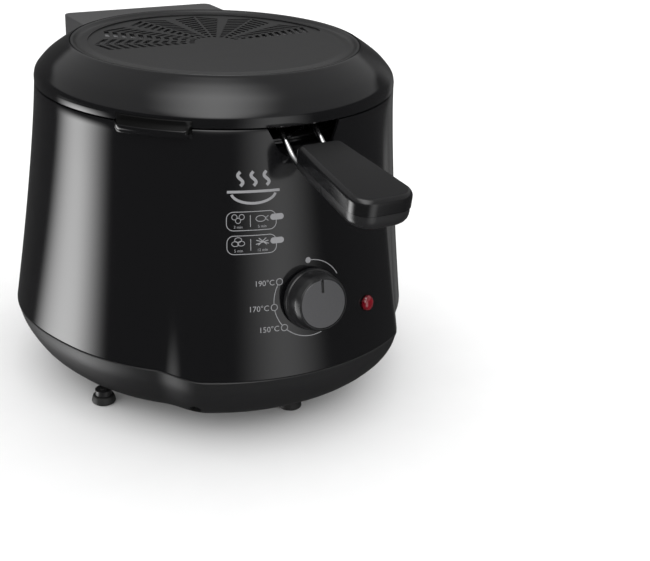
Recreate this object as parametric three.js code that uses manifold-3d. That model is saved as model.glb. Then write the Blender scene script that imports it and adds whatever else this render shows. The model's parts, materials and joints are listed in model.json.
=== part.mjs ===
// Compact deep fryer: a glossy shell on a base tray, a fixed bowl heated from below,
// a rear-hinged lid with a filter, a thermostat knob and a wire basket with a handle.
// Millimetres, +Z up, feet on z = 0, control panel and basket handle towards -Y.
import * as THREE from 'three';
import { mergeVertices } from 'three/addons/utils/BufferGeometryUtils.js';
import Module from 'manifold-3d';

const wasm = await Module();
wasm.setup();

// ---- Clearances ----
const GAP = 0.35; // between two pieces that touch
const RUN = 0.6; // between a moving piece and a fixed one
const EPS = 0.5; // how far a cutter reaches past what it cuts

// ---- Facets around a full turn ----
const WIDE = 40; // shell, tray, lid and bowl
const MIDDLE = 28; // plates, knob and liner
const SMALL = 12; // bores, studs, screws and feet
const WIRE_SIDES = 6;

// ---- Outer shell ----
const SHELL_R = 120; // round top edge of the shell, and the lid over it
const SHELL_TOP_Z = 204.4;
const SHELL_BOTTOM_Z = 50;
const SHELL_WALL = 2.6;
const SIDE_FLARE = 14.5; // how much wider the sides are at the bottom
const REAR_FLARE = 6; // added behind the widest point
const FACADE_FLARE = 26; // how far the control panel stands forward at the bottom
const FACADE_HALF_DEG = 29; // the panel's flat arc on each side of the middle
const CREASE_DEG = 14; // the crease where panel and side meet
const NOTCH_TOP_HALF = 25.5; // notch for the basket handle
const NOTCH_BOTTOM_HALF = 16.5;
const NOTCH_DEPTH = 17.5;
const NOTCH_CORNER = 6;

// ---- Base tray and feet ----
const TRAY_WALL = 2.8;
const TRAY_BOTTOM_Z = 7.6;
const TRAY_ROUND_TO = 0.5; // share of its radius inside which the tray stays round
const FOOT_H = 5.6;
const FOOT_PAD_R = 8;
const FOOT_PEG_R = 5.6;
const FOOT_STEM_R = 2.4;
const FOOT_SIDE_X = SHELL_R - 16.5;
const FOOT_REAR = [SHELL_R * 0.55, SHELL_R * 0.7];
const FOOT_PLACES = [
  ['foot_front', 6, -(SHELL_R - 18)],
  ['foot_left', -FOOT_SIDE_X, -39],
  ['foot_right', FOOT_SIDE_X, -39],
  ['foot_rear_left', -FOOT_REAR[0], FOOT_REAR[1]],
  ['foot_rear_right', FOOT_REAR[0], FOOT_REAR[1]],
];
const CORNER_SCREW_DEG = 32;
const CORNER_SCREW_Z = 22;
const CORNER_SCREW_SHARE = 0.865; // of the tray's radius at its top
const CORNER_SCREW_R = 3.6;

// ---- Bowl and heater ----
const BOWL_R = SHELL_R - 30;
const BOWL_WALL = 1.5;
const BOWL_RIM_R = BOWL_R + 8;
const BOWL_FLOOR_Z = 80;
const LEDGE_TOP_Z = SHELL_TOP_Z - 15.5;
const LEDGE_T = 2.6;
const LEDGE_R = BOWL_R + 5;
const SPREADER_R = BOWL_R - 20;
const SPREADER_T = 4.5;
const ELEMENT_RING_R = SPREADER_R - 16;
const ELEMENT_TUBE_R = 3.8;
const ELEMENT_OPEN_DEG = 60; // gap of the C towards the control panel
const SHIELD_R = BOWL_R - 6;
const SHIELD_Z = SHELL_BOTTOM_Z + 2;
const ELEMENT_LEG_Z = SHIELD_Z + 8; // where the cold ends turn down to
const STUD_R = 2;
const STUD_RING_R = 34;

// ---- Thermostat, lamp and knob ----
const KNOB_X = -3;
const KNOB_Z = 98.5;
const KNOB_R = 19.5;
const KNOB_FACE_R = 15.4;
const KNOB_H = 17;
const KNOB_WALL = 2.2;
const CAP_T = 1.4;
const SHAFT_R = 3;
const SHAFT_REACH = 22; // from the panel inwards
const THERMOSTAT = { width: 32, depth: 17, height: 26 };
const BRACKET_T = 1.5;
const LAMP_DEG = 17.6;
const LAMP_Z = 84;
const LAMP_R = 5;

// ---- Lid ----
const LID_BOTTOM_Z = SHELL_TOP_Z + RUN;
const LID_H = 24.6; // to the top of the disc
const LID_WALL = 3;
const DISC_R = SHELL_R - 24.1;
const DISC_TOP_Z = LID_BOTTOM_Z + LID_H;
const DISC_T = 2.2;
const DISC_RIM_H = 1.3;
const DISC_RIM_W = 2.2;
const FAN_SECTORS = 6;
const FAN_ROWS = 7;
const FAN_START_R = 15;
const FAN_PITCH = DISC_R / 10;
const FAN_SLOT = 5.4;
const FAN_SPOKE_DEG = 3.6; // half the solid spoke between two sectors
const FILTER_R = DISC_R - 15.9;
const FILTER_T = 4;
const FILTER_COVER_R = DISC_R - 11.9;
const FILTER_COVER_T = 2.4;
const COVER_HOLE_R = 7;
const SEAL_W = 3;
const TAB_DEG = -44.4;
const TAB_HALF_DEG = 11.2;
const TAB_DEPTH = 5.4;
const TAB_LOW_Z = LID_BOTTOM_Z - 6;
const TAB_HIGH_Z = LID_BOTTOM_Z + 4.5;

// ---- Hinge and the covers at the rear ----
const HINGE_Y = SHELL_R + 9;
const HINGE_Z = SHELL_TOP_Z - 1.4;
const PIN_R = 1.9;
const KNUCKLE_R = 5;
const COVER_HALF_X = 59;
const COVER_FROM_Y = SHELL_R - 40;
const COVER_REAR_Y = HINGE_Y + KNUCKLE_R;
const COVER_TOP_Z = DISC_TOP_Z - 3.6;
const COVER_WALL = 2.5;
const COVER_CORNER = 6;
const HOUSING_HALF_X = 57;
const HOUSING_TOP_Z = HINGE_Z - 13;
const HOUSING_LOW_Z = SHELL_BOTTOM_Z + 6;
const HOUSING_LOW_Y = COVER_REAR_Y + 9;
const FIXED_KNUCKLE = [14, 32]; // from and to along x, on each side
const INLET_Z = 76;
const INLET_R = 7;
const INLET_BORE_R = 3.6;
const INLET_REACH = 5;

// ---- Basket ----
const BASKET_R = BOWL_R - 11.4;
const BASKET_RIM_Z = LEDGE_TOP_Z - 16.2;
const BASKET_FLOOR_Z = BOWL_FLOOR_Z + 8;
const BASKET_H = BASKET_RIM_Z - BASKET_FLOOR_Z;
const BASKET_WALL = 1.6;
const BASKET_FLAT_Y = BASKET_R - 7.6; // flattened front wall
const RIM_RING_R = BASKET_R + 1;
const RIM_WIRE_R = 2;
const SUPPORT_X = 20;
const SUPPORT_WIRE_R = 1.5;
const BRACKET_WIRE_R = 1.2;
const ROD_X = 12;
const ROD_R = 1.9;

// ---- Handle ----
const HANDLE_REAR_Y = -(SHELL_R + 14);
const HANDLE_REAR_Z = SHELL_TOP_Z - 5.4;
const HANDLE_TILT_DEG = 7.3;
const HANDLE_L = 79;
const HANDLE_REAR_HALF = 15.5;
const HANDLE_FRONT_HALF = 21;
const HANDLE_REAR_CORNER = 5;
const HANDLE_FRONT_CORNER = 13;
const COVER_H = 9.6;
const GRIP_H = 9.4;

// ---- Small numeric helpers ----
const rad = (degrees) => (degrees * Math.PI) / 180;
const clamp01 = (t) => Math.min(1, Math.max(0, t));
const smooth = (t) => clamp01(t) ** 2 * (3 - 2 * clamp01(t));

// Outer radius of the shell at an angle from the front (degrees) and a height.
function shellRadius(angle, z) {
  const drop = clamp01((SHELL_TOP_Z - z) / (SHELL_TOP_Z - SHELL_BOTTOM_Z));
  const away = Math.abs(THREE.MathUtils.euclideanModulo(angle + 180, 360) - 180);
  const rear = REAR_FLARE * drop * smooth((away - 70) / 40);
  const side = SHELL_R + SIDE_FLARE * drop ** 1.35 + rear;
  const facade = SHELL_R + FACADE_FLARE * drop ** 1.1;
  const share = 1 - smooth((away - FACADE_HALF_DEG) / CREASE_DEG);
  return side + (facade - side) * share;
}

// A point on the shell's skin, and the way the skin faces there.
function skinPoint(angle, z, depth = 0) {
  const r = shellRadius(angle, z) - depth;
  return new THREE.Vector3(r * Math.sin(rad(angle)), -r * Math.cos(rad(angle)), z);
}

function skinTilt(angle, z) {
  const step = 1;
  const slope = (shellRadius(angle, z - step) - shellRadius(angle, z + step)) / (2 * step);
  return Math.atan(slope);
}

// ---- Geometry helpers ----

// Welds a geometry and drops triangles that have collapsed to a line.
function weld(geometry) {
  const bare = geometry.clone();
  bare.deleteAttribute('normal');
  bare.deleteAttribute('uv');
  const merged = mergeVertices(bare, 1e-4);
  const kept = [];
  const index = merged.index.array;
  for (let i = 0; i < index.length; i += 3) {
    const [a, b, c] = [index[i], index[i + 1], index[i + 2]];
    if (a !== b && b !== c && c !== a) kept.push(a, b, c);
  }
  merged.setIndex(kept);
  return merged;
}

function toSolid(geometry) {
  const welded = weld(geometry);
  return new wasm.Manifold(new wasm.Mesh({
    numProp: 3,
    vertProperties: new Float32Array(welded.attributes.position.array),
    triVerts: new Uint32Array(welded.index.array),
  }));
}

function toGeometry(solid) {
  const mesh = solid.getMesh();
  const geometry = new THREE.BufferGeometry();
  geometry.setAttribute('position', new THREE.BufferAttribute(mesh.vertProperties, 3));
  geometry.setIndex(new THREE.BufferAttribute(mesh.triVerts, 1));
  geometry.computeVertexNormals();
  return geometry;
}

// Turns a profile of [radius, height] points about the vertical axis.
function turned(profile, segments = MIDDLE) {
  const points = profile.map(([r, z]) => new THREE.Vector2(r, z));
  return new THREE.LatheGeometry(points, segments).rotateX(Math.PI / 2);
}

// A closed ring profile is the same list with its first point repeated.
const ring = (profile, segments) => turned([...profile, profile[0]], segments);

// Moves each vertex of a turned geometry to the radius that a function gives.
function reshape(geometry, radiusAt) {
  const position = geometry.attributes.position;
  for (let i = 0; i < position.count; i += 1) {
    const x = position.getX(i);
    const y = position.getY(i);
    const r = Math.hypot(x, y);
    if (r < 1e-6) continue;
    const angle = THREE.MathUtils.radToDeg(Math.atan2(x, -y));
    const scale = radiusAt(angle, r, position.getZ(i)) / r;
    position.setXY(i, x * scale, y * scale);
  }
  return geometry;
}

const box = (from, to) => new THREE.BoxGeometry(to[0] - from[0], to[1] - from[1], to[2] - from[2])
  .translate((from[0] + to[0]) / 2, (from[1] + to[1]) / 2, (from[2] + to[2]) / 2);

// An upright cylinder between two heights.
const post = (r, z0, z1, sides = SMALL) => new THREE.CylinderGeometry(r, r, z1 - z0, sides)
  .rotateX(Math.PI / 2).translate(0, 0, (z0 + z1) / 2);

// A cylinder along x.
const bar = (r, x0, x1, y, z, sides = SMALL) => new THREE.CylinderGeometry(r, r, x1 - x0, sides)
  .rotateZ(Math.PI / 2).translate((x0 + x1) / 2, y, z);

// A round wire through a list of points.
function wire(points, r, steps, sides = WIRE_SIDES) {
  const path = new THREE.CatmullRomCurve3(
    points.map((p) => new THREE.Vector3(...p)), false, 'catmullrom', 0.5);
  const section = new THREE.Shape(new THREE.EllipseCurve(0, 0, r, r).getPoints(sides).slice(0, sides));
  return new THREE.ExtrudeGeometry(section, { steps, bevelEnabled: false, extrudePath: path });
}

// A four-cornered outline with a rounding of its own at each corner.
function roundedOutline(corners) {
  const shape = new THREE.Shape();
  const count = corners.length;
  corners.forEach(([x, y, r], i) => {
    const here = new THREE.Vector2(x, y);
    const before = new THREE.Vector2(...corners[(i + count - 1) % count]).sub(here).setLength(r);
    const after = new THREE.Vector2(...corners[(i + 1) % count]).sub(here).setLength(r);
    const start = here.clone().add(before);
    const end = here.clone().add(after);
    if (i === 0) shape.moveTo(start.x, start.y);
    else shape.lineTo(start.x, start.y);
    if (r > 0) shape.quadraticCurveTo(x, y, end.x, end.y);
  });
  shape.closePath();
  return shape;
}

const plate = (shape, z0, z1, curveSegments = 5) => new THREE.ExtrudeGeometry(
  shape, { depth: z1 - z0, bevelEnabled: false, curveSegments }).translate(0, 0, z0);

// An outline drawn in the y-z plane and carried along x.
const across = (outline, x0, x1) => new THREE.ExtrudeGeometry(
  new THREE.Shape(outline.map(([y, z]) => new THREE.Vector2(y, z))),
  { depth: x1 - x0, bevelEnabled: false })
  .rotateY(Math.PI / 2).rotateX(Math.PI / 2).translate(x0, 0, 0);

// ---- Materials ----
const finish = (color, roughness, metalness = 0) => new THREE.MeshStandardMaterial(
  { color, roughness, metalness });
const GLOSS_BLACK = finish(0x17171a, 0.16);
const SATIN_GREY = finish(0x3a3b3d, 0.45);
const MATTE_BLACK = finish(0x1c1c1d, 0.6);
const RUBBER = finish(0x141414, 0.85);
const BOWL_METAL = finish(0x8f9092, 0.3, 1);
const STEEL = finish(0xa9aaac, 0.35, 1);
const CHROME = finish(0xc4c5c7, 0.18, 1);
const ALUMINIUM = finish(0xb4b5b8, 0.45, 1);
const BRASS = finish(0xb08d4a, 0.35, 1);
const CERAMIC = finish(0xe6e1d6, 0.6);
const RED_LENS = finish(0xa01028, 0.12);
const INSULATION = finish(0x6b3a2a, 0.6);
const KNOB_GREY = finish(0x4c4d50, 0.4);
const POINTER = finish(0x0c0c0d, 0.4);

// ---- Assembly groups ----
const machine = new THREE.Group();
const lid = new THREE.Group();
const basket = new THREE.Group();
const knob = new THREE.Group();
machine.add(lid, basket, knob);

function add(group, name, geometry, material) {
  const mesh = new THREE.Mesh(geometry, material);
  mesh.name = name;
  group.add(mesh);
  return mesh;
}

// ---- Outer shell: one moulding, with the ledge that carries the bowl ----

const shellLow = SHELL_BOTTOM_Z + GAP;
const inner = SHELL_R - SHELL_WALL;
const wallHeights = [0, 0.25, 0.5, 0.75, 1].map((t) => shellLow + t * (LEDGE_TOP_Z - LEDGE_T - shellLow));

// A solid of the shell's outside, grown by a margin, to cut other pieces with.
function shellSolid(margin) {
  const over = SHELL_TOP_Z + 4;
  const profile = [[0, shellLow], ...[...wallHeights, SHELL_TOP_Z, over].map((z) => [SHELL_R, z]), [0, over]];
  const grown = (angle, r, z) => (r < 1 ? r : shellRadius(angle, z) + margin);
  return toSolid(reshape(turned(profile, WIDE), grown));
}

const shellProfile = [
  ...wallHeights.map((z) => [SHELL_R, z]),
  [SHELL_R, SHELL_TOP_Z],
  [inner, SHELL_TOP_Z],
  [inner, LEDGE_TOP_Z],
  [LEDGE_R, LEDGE_TOP_Z],
  [LEDGE_R, LEDGE_TOP_Z - LEDGE_T],
  ...[...wallHeights].reverse().map((z) => [inner, z]),
];
const flared = (angle, r, z) => {
  const share = smooth((r - LEDGE_R) / (inner - LEDGE_R));
  return r + (shellRadius(angle, z) - SHELL_R) * share;
};
const notchTop = SHELL_TOP_Z + EPS;
const notchLow = SHELL_TOP_Z - NOTCH_DEPTH;
const notchOutline = roundedOutline([
  [-NOTCH_TOP_HALF, notchTop, 0],
  [-NOTCH_BOTTOM_HALF, notchLow, NOTCH_CORNER],
  [NOTCH_BOTTOM_HALF, notchLow, NOTCH_CORNER],
  [NOTCH_TOP_HALF, notchTop, 0],
]);
const notchReach = 2 * SHELL_WALL;
const notchCutter = new THREE.ExtrudeGeometry(notchOutline, { depth: 4 * notchReach, bevelEnabled: false })
  .rotateX(Math.PI / 2).translate(0, -SHELL_R + 2.4 * notchReach, 0);

// Places a geometry made about +Z so that it stands on the skin and faces out.
function ontoSkin(geometry, angle, z, depth = 0) {
  const point = skinPoint(angle, z, depth);
  return geometry.rotateX(Math.PI / 2 - skinTilt(angle, z)).rotateZ(rad(angle))
    .translate(point.x, point.y, point.z);
}

const knobDeg = THREE.MathUtils.radToDeg(Math.asin(KNOB_X / shellRadius(0, KNOB_Z)));
const shaftHole = ontoSkin(post(SHAFT_R + RUN, -12, 12), knobDeg, KNOB_Z);
const lampHole = ontoSkin(post(LAMP_R - 0.8 + GAP, -12, 12), LAMP_DEG, LAMP_Z);
const cableHole = new THREE.CylinderGeometry(INLET_R, INLET_R, 40, SMALL)
  .translate(0, shellRadius(180, INLET_Z), INLET_Z);
const bodyShell = toSolid(reshape(ring(shellProfile, WIDE), flared))
  .subtract(toSolid(notchCutter))
  .subtract(toSolid(shaftHole))
  .subtract(toSolid(lampHole))
  .subtract(toSolid(cableHole));
add(machine, 'body_shell', toGeometry(bodyShell), GLOSS_BLACK);

// ---- Base tray: dished moulding with a peg over each foot ----
const trayTop = SHELL_BOTTOM_Z;
const trayNominal = SHELL_R + SIDE_FLARE;
const trayCurve = [[0.7, 0], [0.81, 0.1], [0.9, 0.3], [0.97, 0.68], [1, 1]];
const trayHeight = (t) => TRAY_BOTTOM_Z + t * (trayTop - TRAY_BOTTOM_Z);
const trayProfile = [
  [0, TRAY_BOTTOM_Z],
  ...trayCurve.map(([k, t]) => [k * trayNominal, trayHeight(t)]),
  [trayNominal - TRAY_WALL, trayTop],
  ...trayCurve.slice(0, -1).reverse().map(
    ([k, t]) => [k * trayNominal - TRAY_WALL, trayHeight(t) + (1 - t) * TRAY_WALL]),
  [0, TRAY_BOTTOM_Z + TRAY_WALL],
];
const dished = (angle, r) => {
  const share = smooth((r / trayNominal - TRAY_ROUND_TO) / (1 - TRAY_ROUND_TO));
  return r * (1 + share * (shellRadius(angle, SHELL_BOTTOM_Z) / trayNominal - 1));
};
let tray = toSolid(reshape(turned(trayProfile, WIDE), dished));
const pegTop = TRAY_BOTTOM_Z + 9;
for (const [, x, y] of FOOT_PLACES) {
  tray = tray.add(toSolid(post(FOOT_PEG_R, FOOT_H + GAP, pegTop).translate(x, y, 0)));
}
for (const [, x, y] of FOOT_PLACES) {
  tray = tray.subtract(toSolid(post(FOOT_STEM_R + GAP, 0, pegTop - TRAY_WALL).translate(x, y, 0)));
}
const screwSides = [['left', -1], ['right', 1]];
const cornerPoint = (side, back) => {
  const angle = side * CORNER_SCREW_DEG;
  const r = CORNER_SCREW_SHARE * shellRadius(angle, SHELL_BOTTOM_Z) - back;
  return [angle, r * Math.sin(rad(angle)), -r * Math.cos(rad(angle))];
};
const recess = (r, back, reach, side) => {
  const [angle, x, y] = cornerPoint(side, back);
  return post(r, 0, reach).rotateX(Math.PI / 2).rotateZ(rad(angle)).translate(x, y, CORNER_SCREW_Z);
};
for (const [, side] of screwSides) {
  tray = tray.subtract(toSolid(recess(CORNER_SCREW_R + GAP, 6, 20, side)));
}
add(machine, 'base_tray', toGeometry(tray), MATTE_BLACK);
for (const [name, side] of screwSides) {
  const head = toSolid(recess(CORNER_SCREW_R, 5.5, 2.4, side));
  add(machine, `corner_screw_${name}`, toGeometry(head), STEEL);
}
for (const [name, x, y] of FOOT_PLACES) {
  const pad = turned([
    [0, 0], [FOOT_PAD_R - 1, 0], [FOOT_PAD_R, 1], [FOOT_PAD_R - 0.6, 3], [FOOT_PEG_R, FOOT_H],
    [FOOT_STEM_R, FOOT_H], [FOOT_STEM_R, FOOT_H + 5], [0, FOOT_H + 5],
  ], SMALL);
  add(machine, name, toGeometry(toSolid(pad)), RUBBER).position.set(x, y, 0);
}

// ---- Bowl, spreader plate, heating element and shield under it ----
const bowlCorner = 12;
const bowlOut = BOWL_R + BOWL_WALL;
const rimLow = LEDGE_TOP_Z + GAP;
const bowlProfile = [
  [0, BOWL_FLOOR_Z - BOWL_WALL],
  [bowlOut - bowlCorner, BOWL_FLOOR_Z - BOWL_WALL],
  [bowlOut - bowlCorner * 0.3, BOWL_FLOOR_Z - BOWL_WALL + bowlCorner * 0.3],
  [bowlOut, BOWL_FLOOR_Z - BOWL_WALL + bowlCorner],
  [bowlOut, rimLow],
  [BOWL_RIM_R, rimLow],
  [BOWL_RIM_R, rimLow + BOWL_WALL],
  [BOWL_R, rimLow + BOWL_WALL],
  [BOWL_R, BOWL_FLOOR_Z + bowlCorner],
  [BOWL_R - bowlCorner * 0.3, BOWL_FLOOR_Z + bowlCorner * 0.3],
  [BOWL_R - bowlCorner, BOWL_FLOOR_Z],
  [0, BOWL_FLOOR_Z],
];
add(machine, 'fryer_bowl', toGeometry(toSolid(turned(bowlProfile, WIDE))), BOWL_METAL);

const spreaderTop = BOWL_FLOOR_Z - BOWL_WALL - GAP;
const spreaderLow = spreaderTop - SPREADER_T;
add(machine, 'heat_spreader', post(SPREADER_R, spreaderLow, spreaderTop, MIDDLE), ALUMINIUM);

const elementZ = spreaderLow - GAP - ELEMENT_TUBE_R;
const elementEnd = ELEMENT_OPEN_DEG / 2;
const elementArc = [];
const elementArcSteps = 14;
for (let i = 0; i <= elementArcSteps; i += 1) {
  const angle = rad(elementEnd + (i * (360 - 2 * elementEnd)) / elementArcSteps);
  elementArc.push([ELEMENT_RING_R * Math.sin(angle), -ELEMENT_RING_R * Math.cos(angle), elementZ]);
}
const coldEnd = (side) => {
  const x = side * ELEMENT_RING_R * Math.sin(rad(elementEnd));
  const y = -ELEMENT_RING_R * Math.cos(rad(elementEnd));
  const near = [x - side * 7, y - 5, elementZ - 1];
  const low = [x - side * 10, y - 12, ELEMENT_LEG_Z + 2];
  return [near, low, [x - side * 10, y - 15, ELEMENT_LEG_Z - 2]];
};
const elementPath = [...coldEnd(1).reverse(), ...elementArc, ...coldEnd(-1)];
const element = toSolid(wire(elementPath, ELEMENT_TUBE_R, 40, 8));
add(machine, 'heating_element', toGeometry(element), STEEL);

const shieldProfile = [
  [0, SHIELD_Z], [SHIELD_R - 8, SHIELD_Z], [SHIELD_R, SHIELD_Z + 8], [SHIELD_R - 1.4, SHIELD_Z + 8],
  [SHIELD_R - 8.6, SHIELD_Z + 1], [0, SHIELD_Z + 1],
];
let shield = toSolid(turned(shieldProfile));
const studPlaces = [0, 1, 2].map((i) => {
  const angle = rad(120 * i + 180);
  return [STUD_RING_R * Math.sin(angle), -STUD_RING_R * Math.cos(angle)];
});
for (const [x, y] of studPlaces) {
  shield = shield.subtract(toSolid(post(STUD_R + GAP, SHIELD_Z - EPS, SHIELD_Z + 2).translate(x, y, 0)));
}
add(machine, 'heat_shield', toGeometry(shield), ALUMINIUM);
studPlaces.forEach(([x, y], i) => {
  const stud = toSolid(post(STUD_R, SHIELD_Z - 4.6, spreaderLow - GAP, 8))
    .add(toSolid(post(STUD_R * 1.9, SHIELD_Z - 4.6, SHIELD_Z - GAP, 6)));
  add(machine, `shield_stud_${i + 1}`, toGeometry(stud), STEEL).position.set(x, y, 0);
});

// ---- Thermostat, its bracket, sensor and cut-out ----
const onPanel = (geometry, depth) => ontoSkin(geometry, knobDeg, KNOB_Z, depth);
const bracketBack = SHELL_WALL + 6;
const thermostatFront = bracketBack + BRACKET_T + GAP;
const { width, depth, height } = THERMOSTAT;
const shaftLow = -SHAFT_REACH;
const thermostatCase = toSolid(onPanel(
  box([-width / 2, -height / 2, -depth], [width / 2, height / 2, 0]), thermostatFront))
  .subtract(toSolid(onPanel(post(SHAFT_R + RUN, shaftLow - RUN, EPS), 0)));
add(machine, 'thermostat', toGeometry(thermostatCase), CERAMIC);
const bracketHalf = width / 2 + 7;
const bracketPlate = toSolid(onPanel(
  box([-bracketHalf, -height / 2, 0], [bracketHalf, height / 2, BRACKET_T]), bracketBack + BRACKET_T))
  .subtract(toSolid(onPanel(post(SHAFT_R + RUN, -20, 20), 0)));
add(machine, 'thermostat_bracket', toGeometry(bracketPlate), STEEL);

const bulbZ = BOWL_FLOOR_Z + 24;
const bulbY = -(bowlOut + 2.6);
const bulb = toSolid(bar(2, -26, 20, 0, 0, 8));
add(machine, 'sensor_bulb', toGeometry(bulb), BRASS).position.set(0, bulbY, bulbZ);
const capillaryPath = [
  [21.5, bulbY, bulbZ], [27, bulbY - 1, bulbZ + 2], [31, bulbY - 6, bulbZ + 8], [28, bulbY - 12, bulbZ + 10],
  [22, bulbY - 17, bulbZ + 5],
];
add(machine, 'sensor_capillary', toGeometry(toSolid(wire(capillaryPath, 0.9, 12, 5))), BRASS);
const fuse = bar(2.2, -9, 9, -(STUD_RING_R + 4), SHIELD_Z + 5.2);
add(machine, 'thermal_fuse', toGeometry(toSolid(fuse)), CERAMIC);
const blockY = SHIELD_R + 6;
const blockZ = SHIELD_Z + 10;
const terminalBlock = box([-22, blockY, blockZ], [22, blockY + 12, blockZ + 12]);
add(machine, 'terminal_block', toGeometry(toSolid(terminalBlock)), CERAMIC);

// ---- Pilot lamp: red lens in the panel, neon lamp behind it ----
const lens = toSolid(ontoSkin(turned([
  [0, -6], [LAMP_R - 0.8, -6], [LAMP_R - 0.8, 0.9], [LAMP_R, 0.9], [LAMP_R, 1.6], [LAMP_R * 0.86, 2.9],
  [LAMP_R * 0.5, 3.9], [0, 4.3],
], SMALL), LAMP_DEG, LAMP_Z));
add(machine, 'pilot_lens', toGeometry(lens), RED_LENS);
const neon = toSolid(ontoSkin(post(3.2, -22, -6 - GAP, 8), LAMP_DEG, LAMP_Z));
add(machine, 'pilot_lamp', toGeometry(neon), CERAMIC);

// ---- Wires inside the base ----
const lampBack = skinPoint(LAMP_DEG, LAMP_Z, 24);
const wireEnd = [blockY + 6, blockZ - 1.8];
const wirePaths = {
  wire_live: [[-16, ...wireEnd], [-30, blockY + 5, SHIELD_Z - 4], [-SHIELD_R - 8, 30, SHIELD_Z - 8],
    [-SHIELD_R - 6, -50, SHIELD_Z - 8], [-50, -SHIELD_R - 14, SHIELD_Z - 4],
    [-32, -SHIELD_R - 18, KNOB_Z - 24.5], [-24, -SHIELD_R - 20, KNOB_Z - 12.5]],
  wire_neutral: [[16, ...wireEnd], [30, blockY + 5, SHIELD_Z - 4], [SHIELD_R + 8, 30, SHIELD_Z - 8],
    [SHIELD_R + 9, -30, SHIELD_Z - 6], [SHIELD_R - 14, -SHIELD_R + 20, ELEMENT_LEG_Z + 6],
    [SHIELD_R - 32, -SHIELD_R + 18, ELEMENT_LEG_Z + 7], [SHIELD_R - 40.5, -SHIELD_R + 22, ELEMENT_LEG_Z + 1]],
  wire_lamp: [[52, -SHIELD_R - 8, SHIELD_Z - 4], [48, -SHIELD_R - 14, SHIELD_Z + 6],
    [lampBack.x, lampBack.y + 1, lampBack.z - 7]],
};
for (const [name, path] of Object.entries(wirePaths)) {
  add(machine, name, toGeometry(toSolid(wire(path, 1.3, 20, 5))), INSULATION);
}

// ---- Hinge housing at the rear, with the two fixed knuckles ----
const housingOutline = (wall) => [
  [SHELL_R - 20, HOUSING_LOW_Z + wall], [HOUSING_LOW_Y - wall, HOUSING_LOW_Z + wall],
  [COVER_REAR_Y - wall, HOUSING_TOP_Z - wall], [SHELL_R - 20, HOUSING_TOP_Z - wall],
];
const housingX = HOUSING_HALF_X - COVER_WALL;
const knuckleSpans = [[-FIXED_KNUCKLE[1], -FIXED_KNUCKLE[0]], FIXED_KNUCKLE];
let housing = toSolid(across(housingOutline(0), -HOUSING_HALF_X, HOUSING_HALF_X))
  .subtract(toSolid(across(housingOutline(COVER_WALL), -housingX, housingX)));
for (const [x0, x1] of knuckleSpans) {
  const leg = box([x0, HINGE_Y - KNUCKLE_R, HOUSING_TOP_Z - 1.2], [x1, HINGE_Y + KNUCKLE_R - 1.2, HINGE_Z]);
  housing = housing.add(toSolid(leg)).add(toSolid(bar(KNUCKLE_R, x0, x1, HINGE_Y, HINGE_Z)));
}
const rearSlope = (HOUSING_LOW_Y - COVER_REAR_Y) / (HOUSING_TOP_Z - HOUSING_LOW_Z);
const inletY = COVER_REAR_Y + rearSlope * (HOUSING_TOP_Z - INLET_Z);
const alongY = (r, y0, y1) => new THREE.CylinderGeometry(r, r, y1 - y0, SMALL)
  .translate(0, (y0 + y1) / 2, INLET_Z);
housing = housing
  .subtract(shellSolid(GAP))
  .subtract(toSolid(bar(PIN_R + GAP, -60, 60, HINGE_Y, HINGE_Z)))
  .subtract(toSolid(alongY(INLET_R - 2 + GAP, inletY - 8, inletY + 8)));
add(machine, 'rear_housing', toGeometry(housing), MATTE_BLACK);
const inlet = toSolid(alongY(INLET_R, inletY + 0.4 + GAP, inletY + INLET_REACH))
  .add(toSolid(alongY(INLET_R - 2, inletY - 7, inletY + INLET_REACH)))
  .subtract(toSolid(alongY(INLET_BORE_R, inletY - 9, inletY + 9)));
add(machine, 'cable_inlet', toGeometry(inlet), RUBBER);
const pinHalf = FIXED_KNUCKLE[1] + 12;
add(machine, 'hinge_pin', toGeometry(toSolid(bar(PIN_R, -pinHalf, pinHalf, HINGE_Y, HINGE_Z))), STEEL);

// ---- Knob, with its shaft, face and pointer ----
const knobSeat = skinPoint(knobDeg, KNOB_Z);
knob.position.copy(knobSeat);
knob.rotation.set(Math.PI / 2 - skinTilt(knobDeg, KNOB_Z), 0, rad(knobDeg), 'ZYX');
const knobBody = toSolid(turned([
  [0, KNOB_H - CAP_T - GAP - 2], [SHAFT_R + 2.4, KNOB_H - CAP_T - GAP - 2],
  [SHAFT_R + 2.4, 5], [KNOB_R - KNOB_WALL - 1, 5], [KNOB_R - KNOB_WALL - 1, 1.1], [KNOB_R - 0.6, 1.1],
  [KNOB_R, 1.9], [KNOB_R, 4.6], [KNOB_R - 1, 5.4], [KNOB_FACE_R + 2.2, KNOB_H - 2.4],
  [KNOB_FACE_R + 0.9, KNOB_H], [KNOB_FACE_R + GAP, KNOB_H], [KNOB_FACE_R + GAP, KNOB_H - CAP_T - GAP],
  [0, KNOB_H - CAP_T - GAP],
], MIDDLE)).subtract(toSolid(post(SHAFT_R + GAP, -1, KNOB_H - CAP_T - 2 * GAP - 2.2)));
add(knob, 'knob', toGeometry(knobBody), MATTE_BLACK);
const slotW = 1.7;
const slotFrom = KNOB_FACE_R * 0.46;
const slotCut = box([-slotW / 2, slotFrom, KNOB_H - 1.2], [slotW / 2, KNOB_FACE_R - 1, KNOB_H + 1]);
const face = toSolid(post(KNOB_FACE_R, KNOB_H - CAP_T, KNOB_H, MIDDLE)).subtract(toSolid(slotCut));
add(knob, 'knob_cap', toGeometry(face), KNOB_GREY);
const pointer = box([-slotW / 2 + GAP, slotFrom + GAP, KNOB_H - 1.2 + GAP],
  [slotW / 2 - GAP, KNOB_FACE_R - 1 - GAP, KNOB_H - 0.1]);
add(knob, 'knob_pointer', pointer, POINTER);
add(knob, 'knob_shaft', post(SHAFT_R, shaftLow, KNOB_H - CAP_T - 2 * GAP - 2.6), STEEL);

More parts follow.
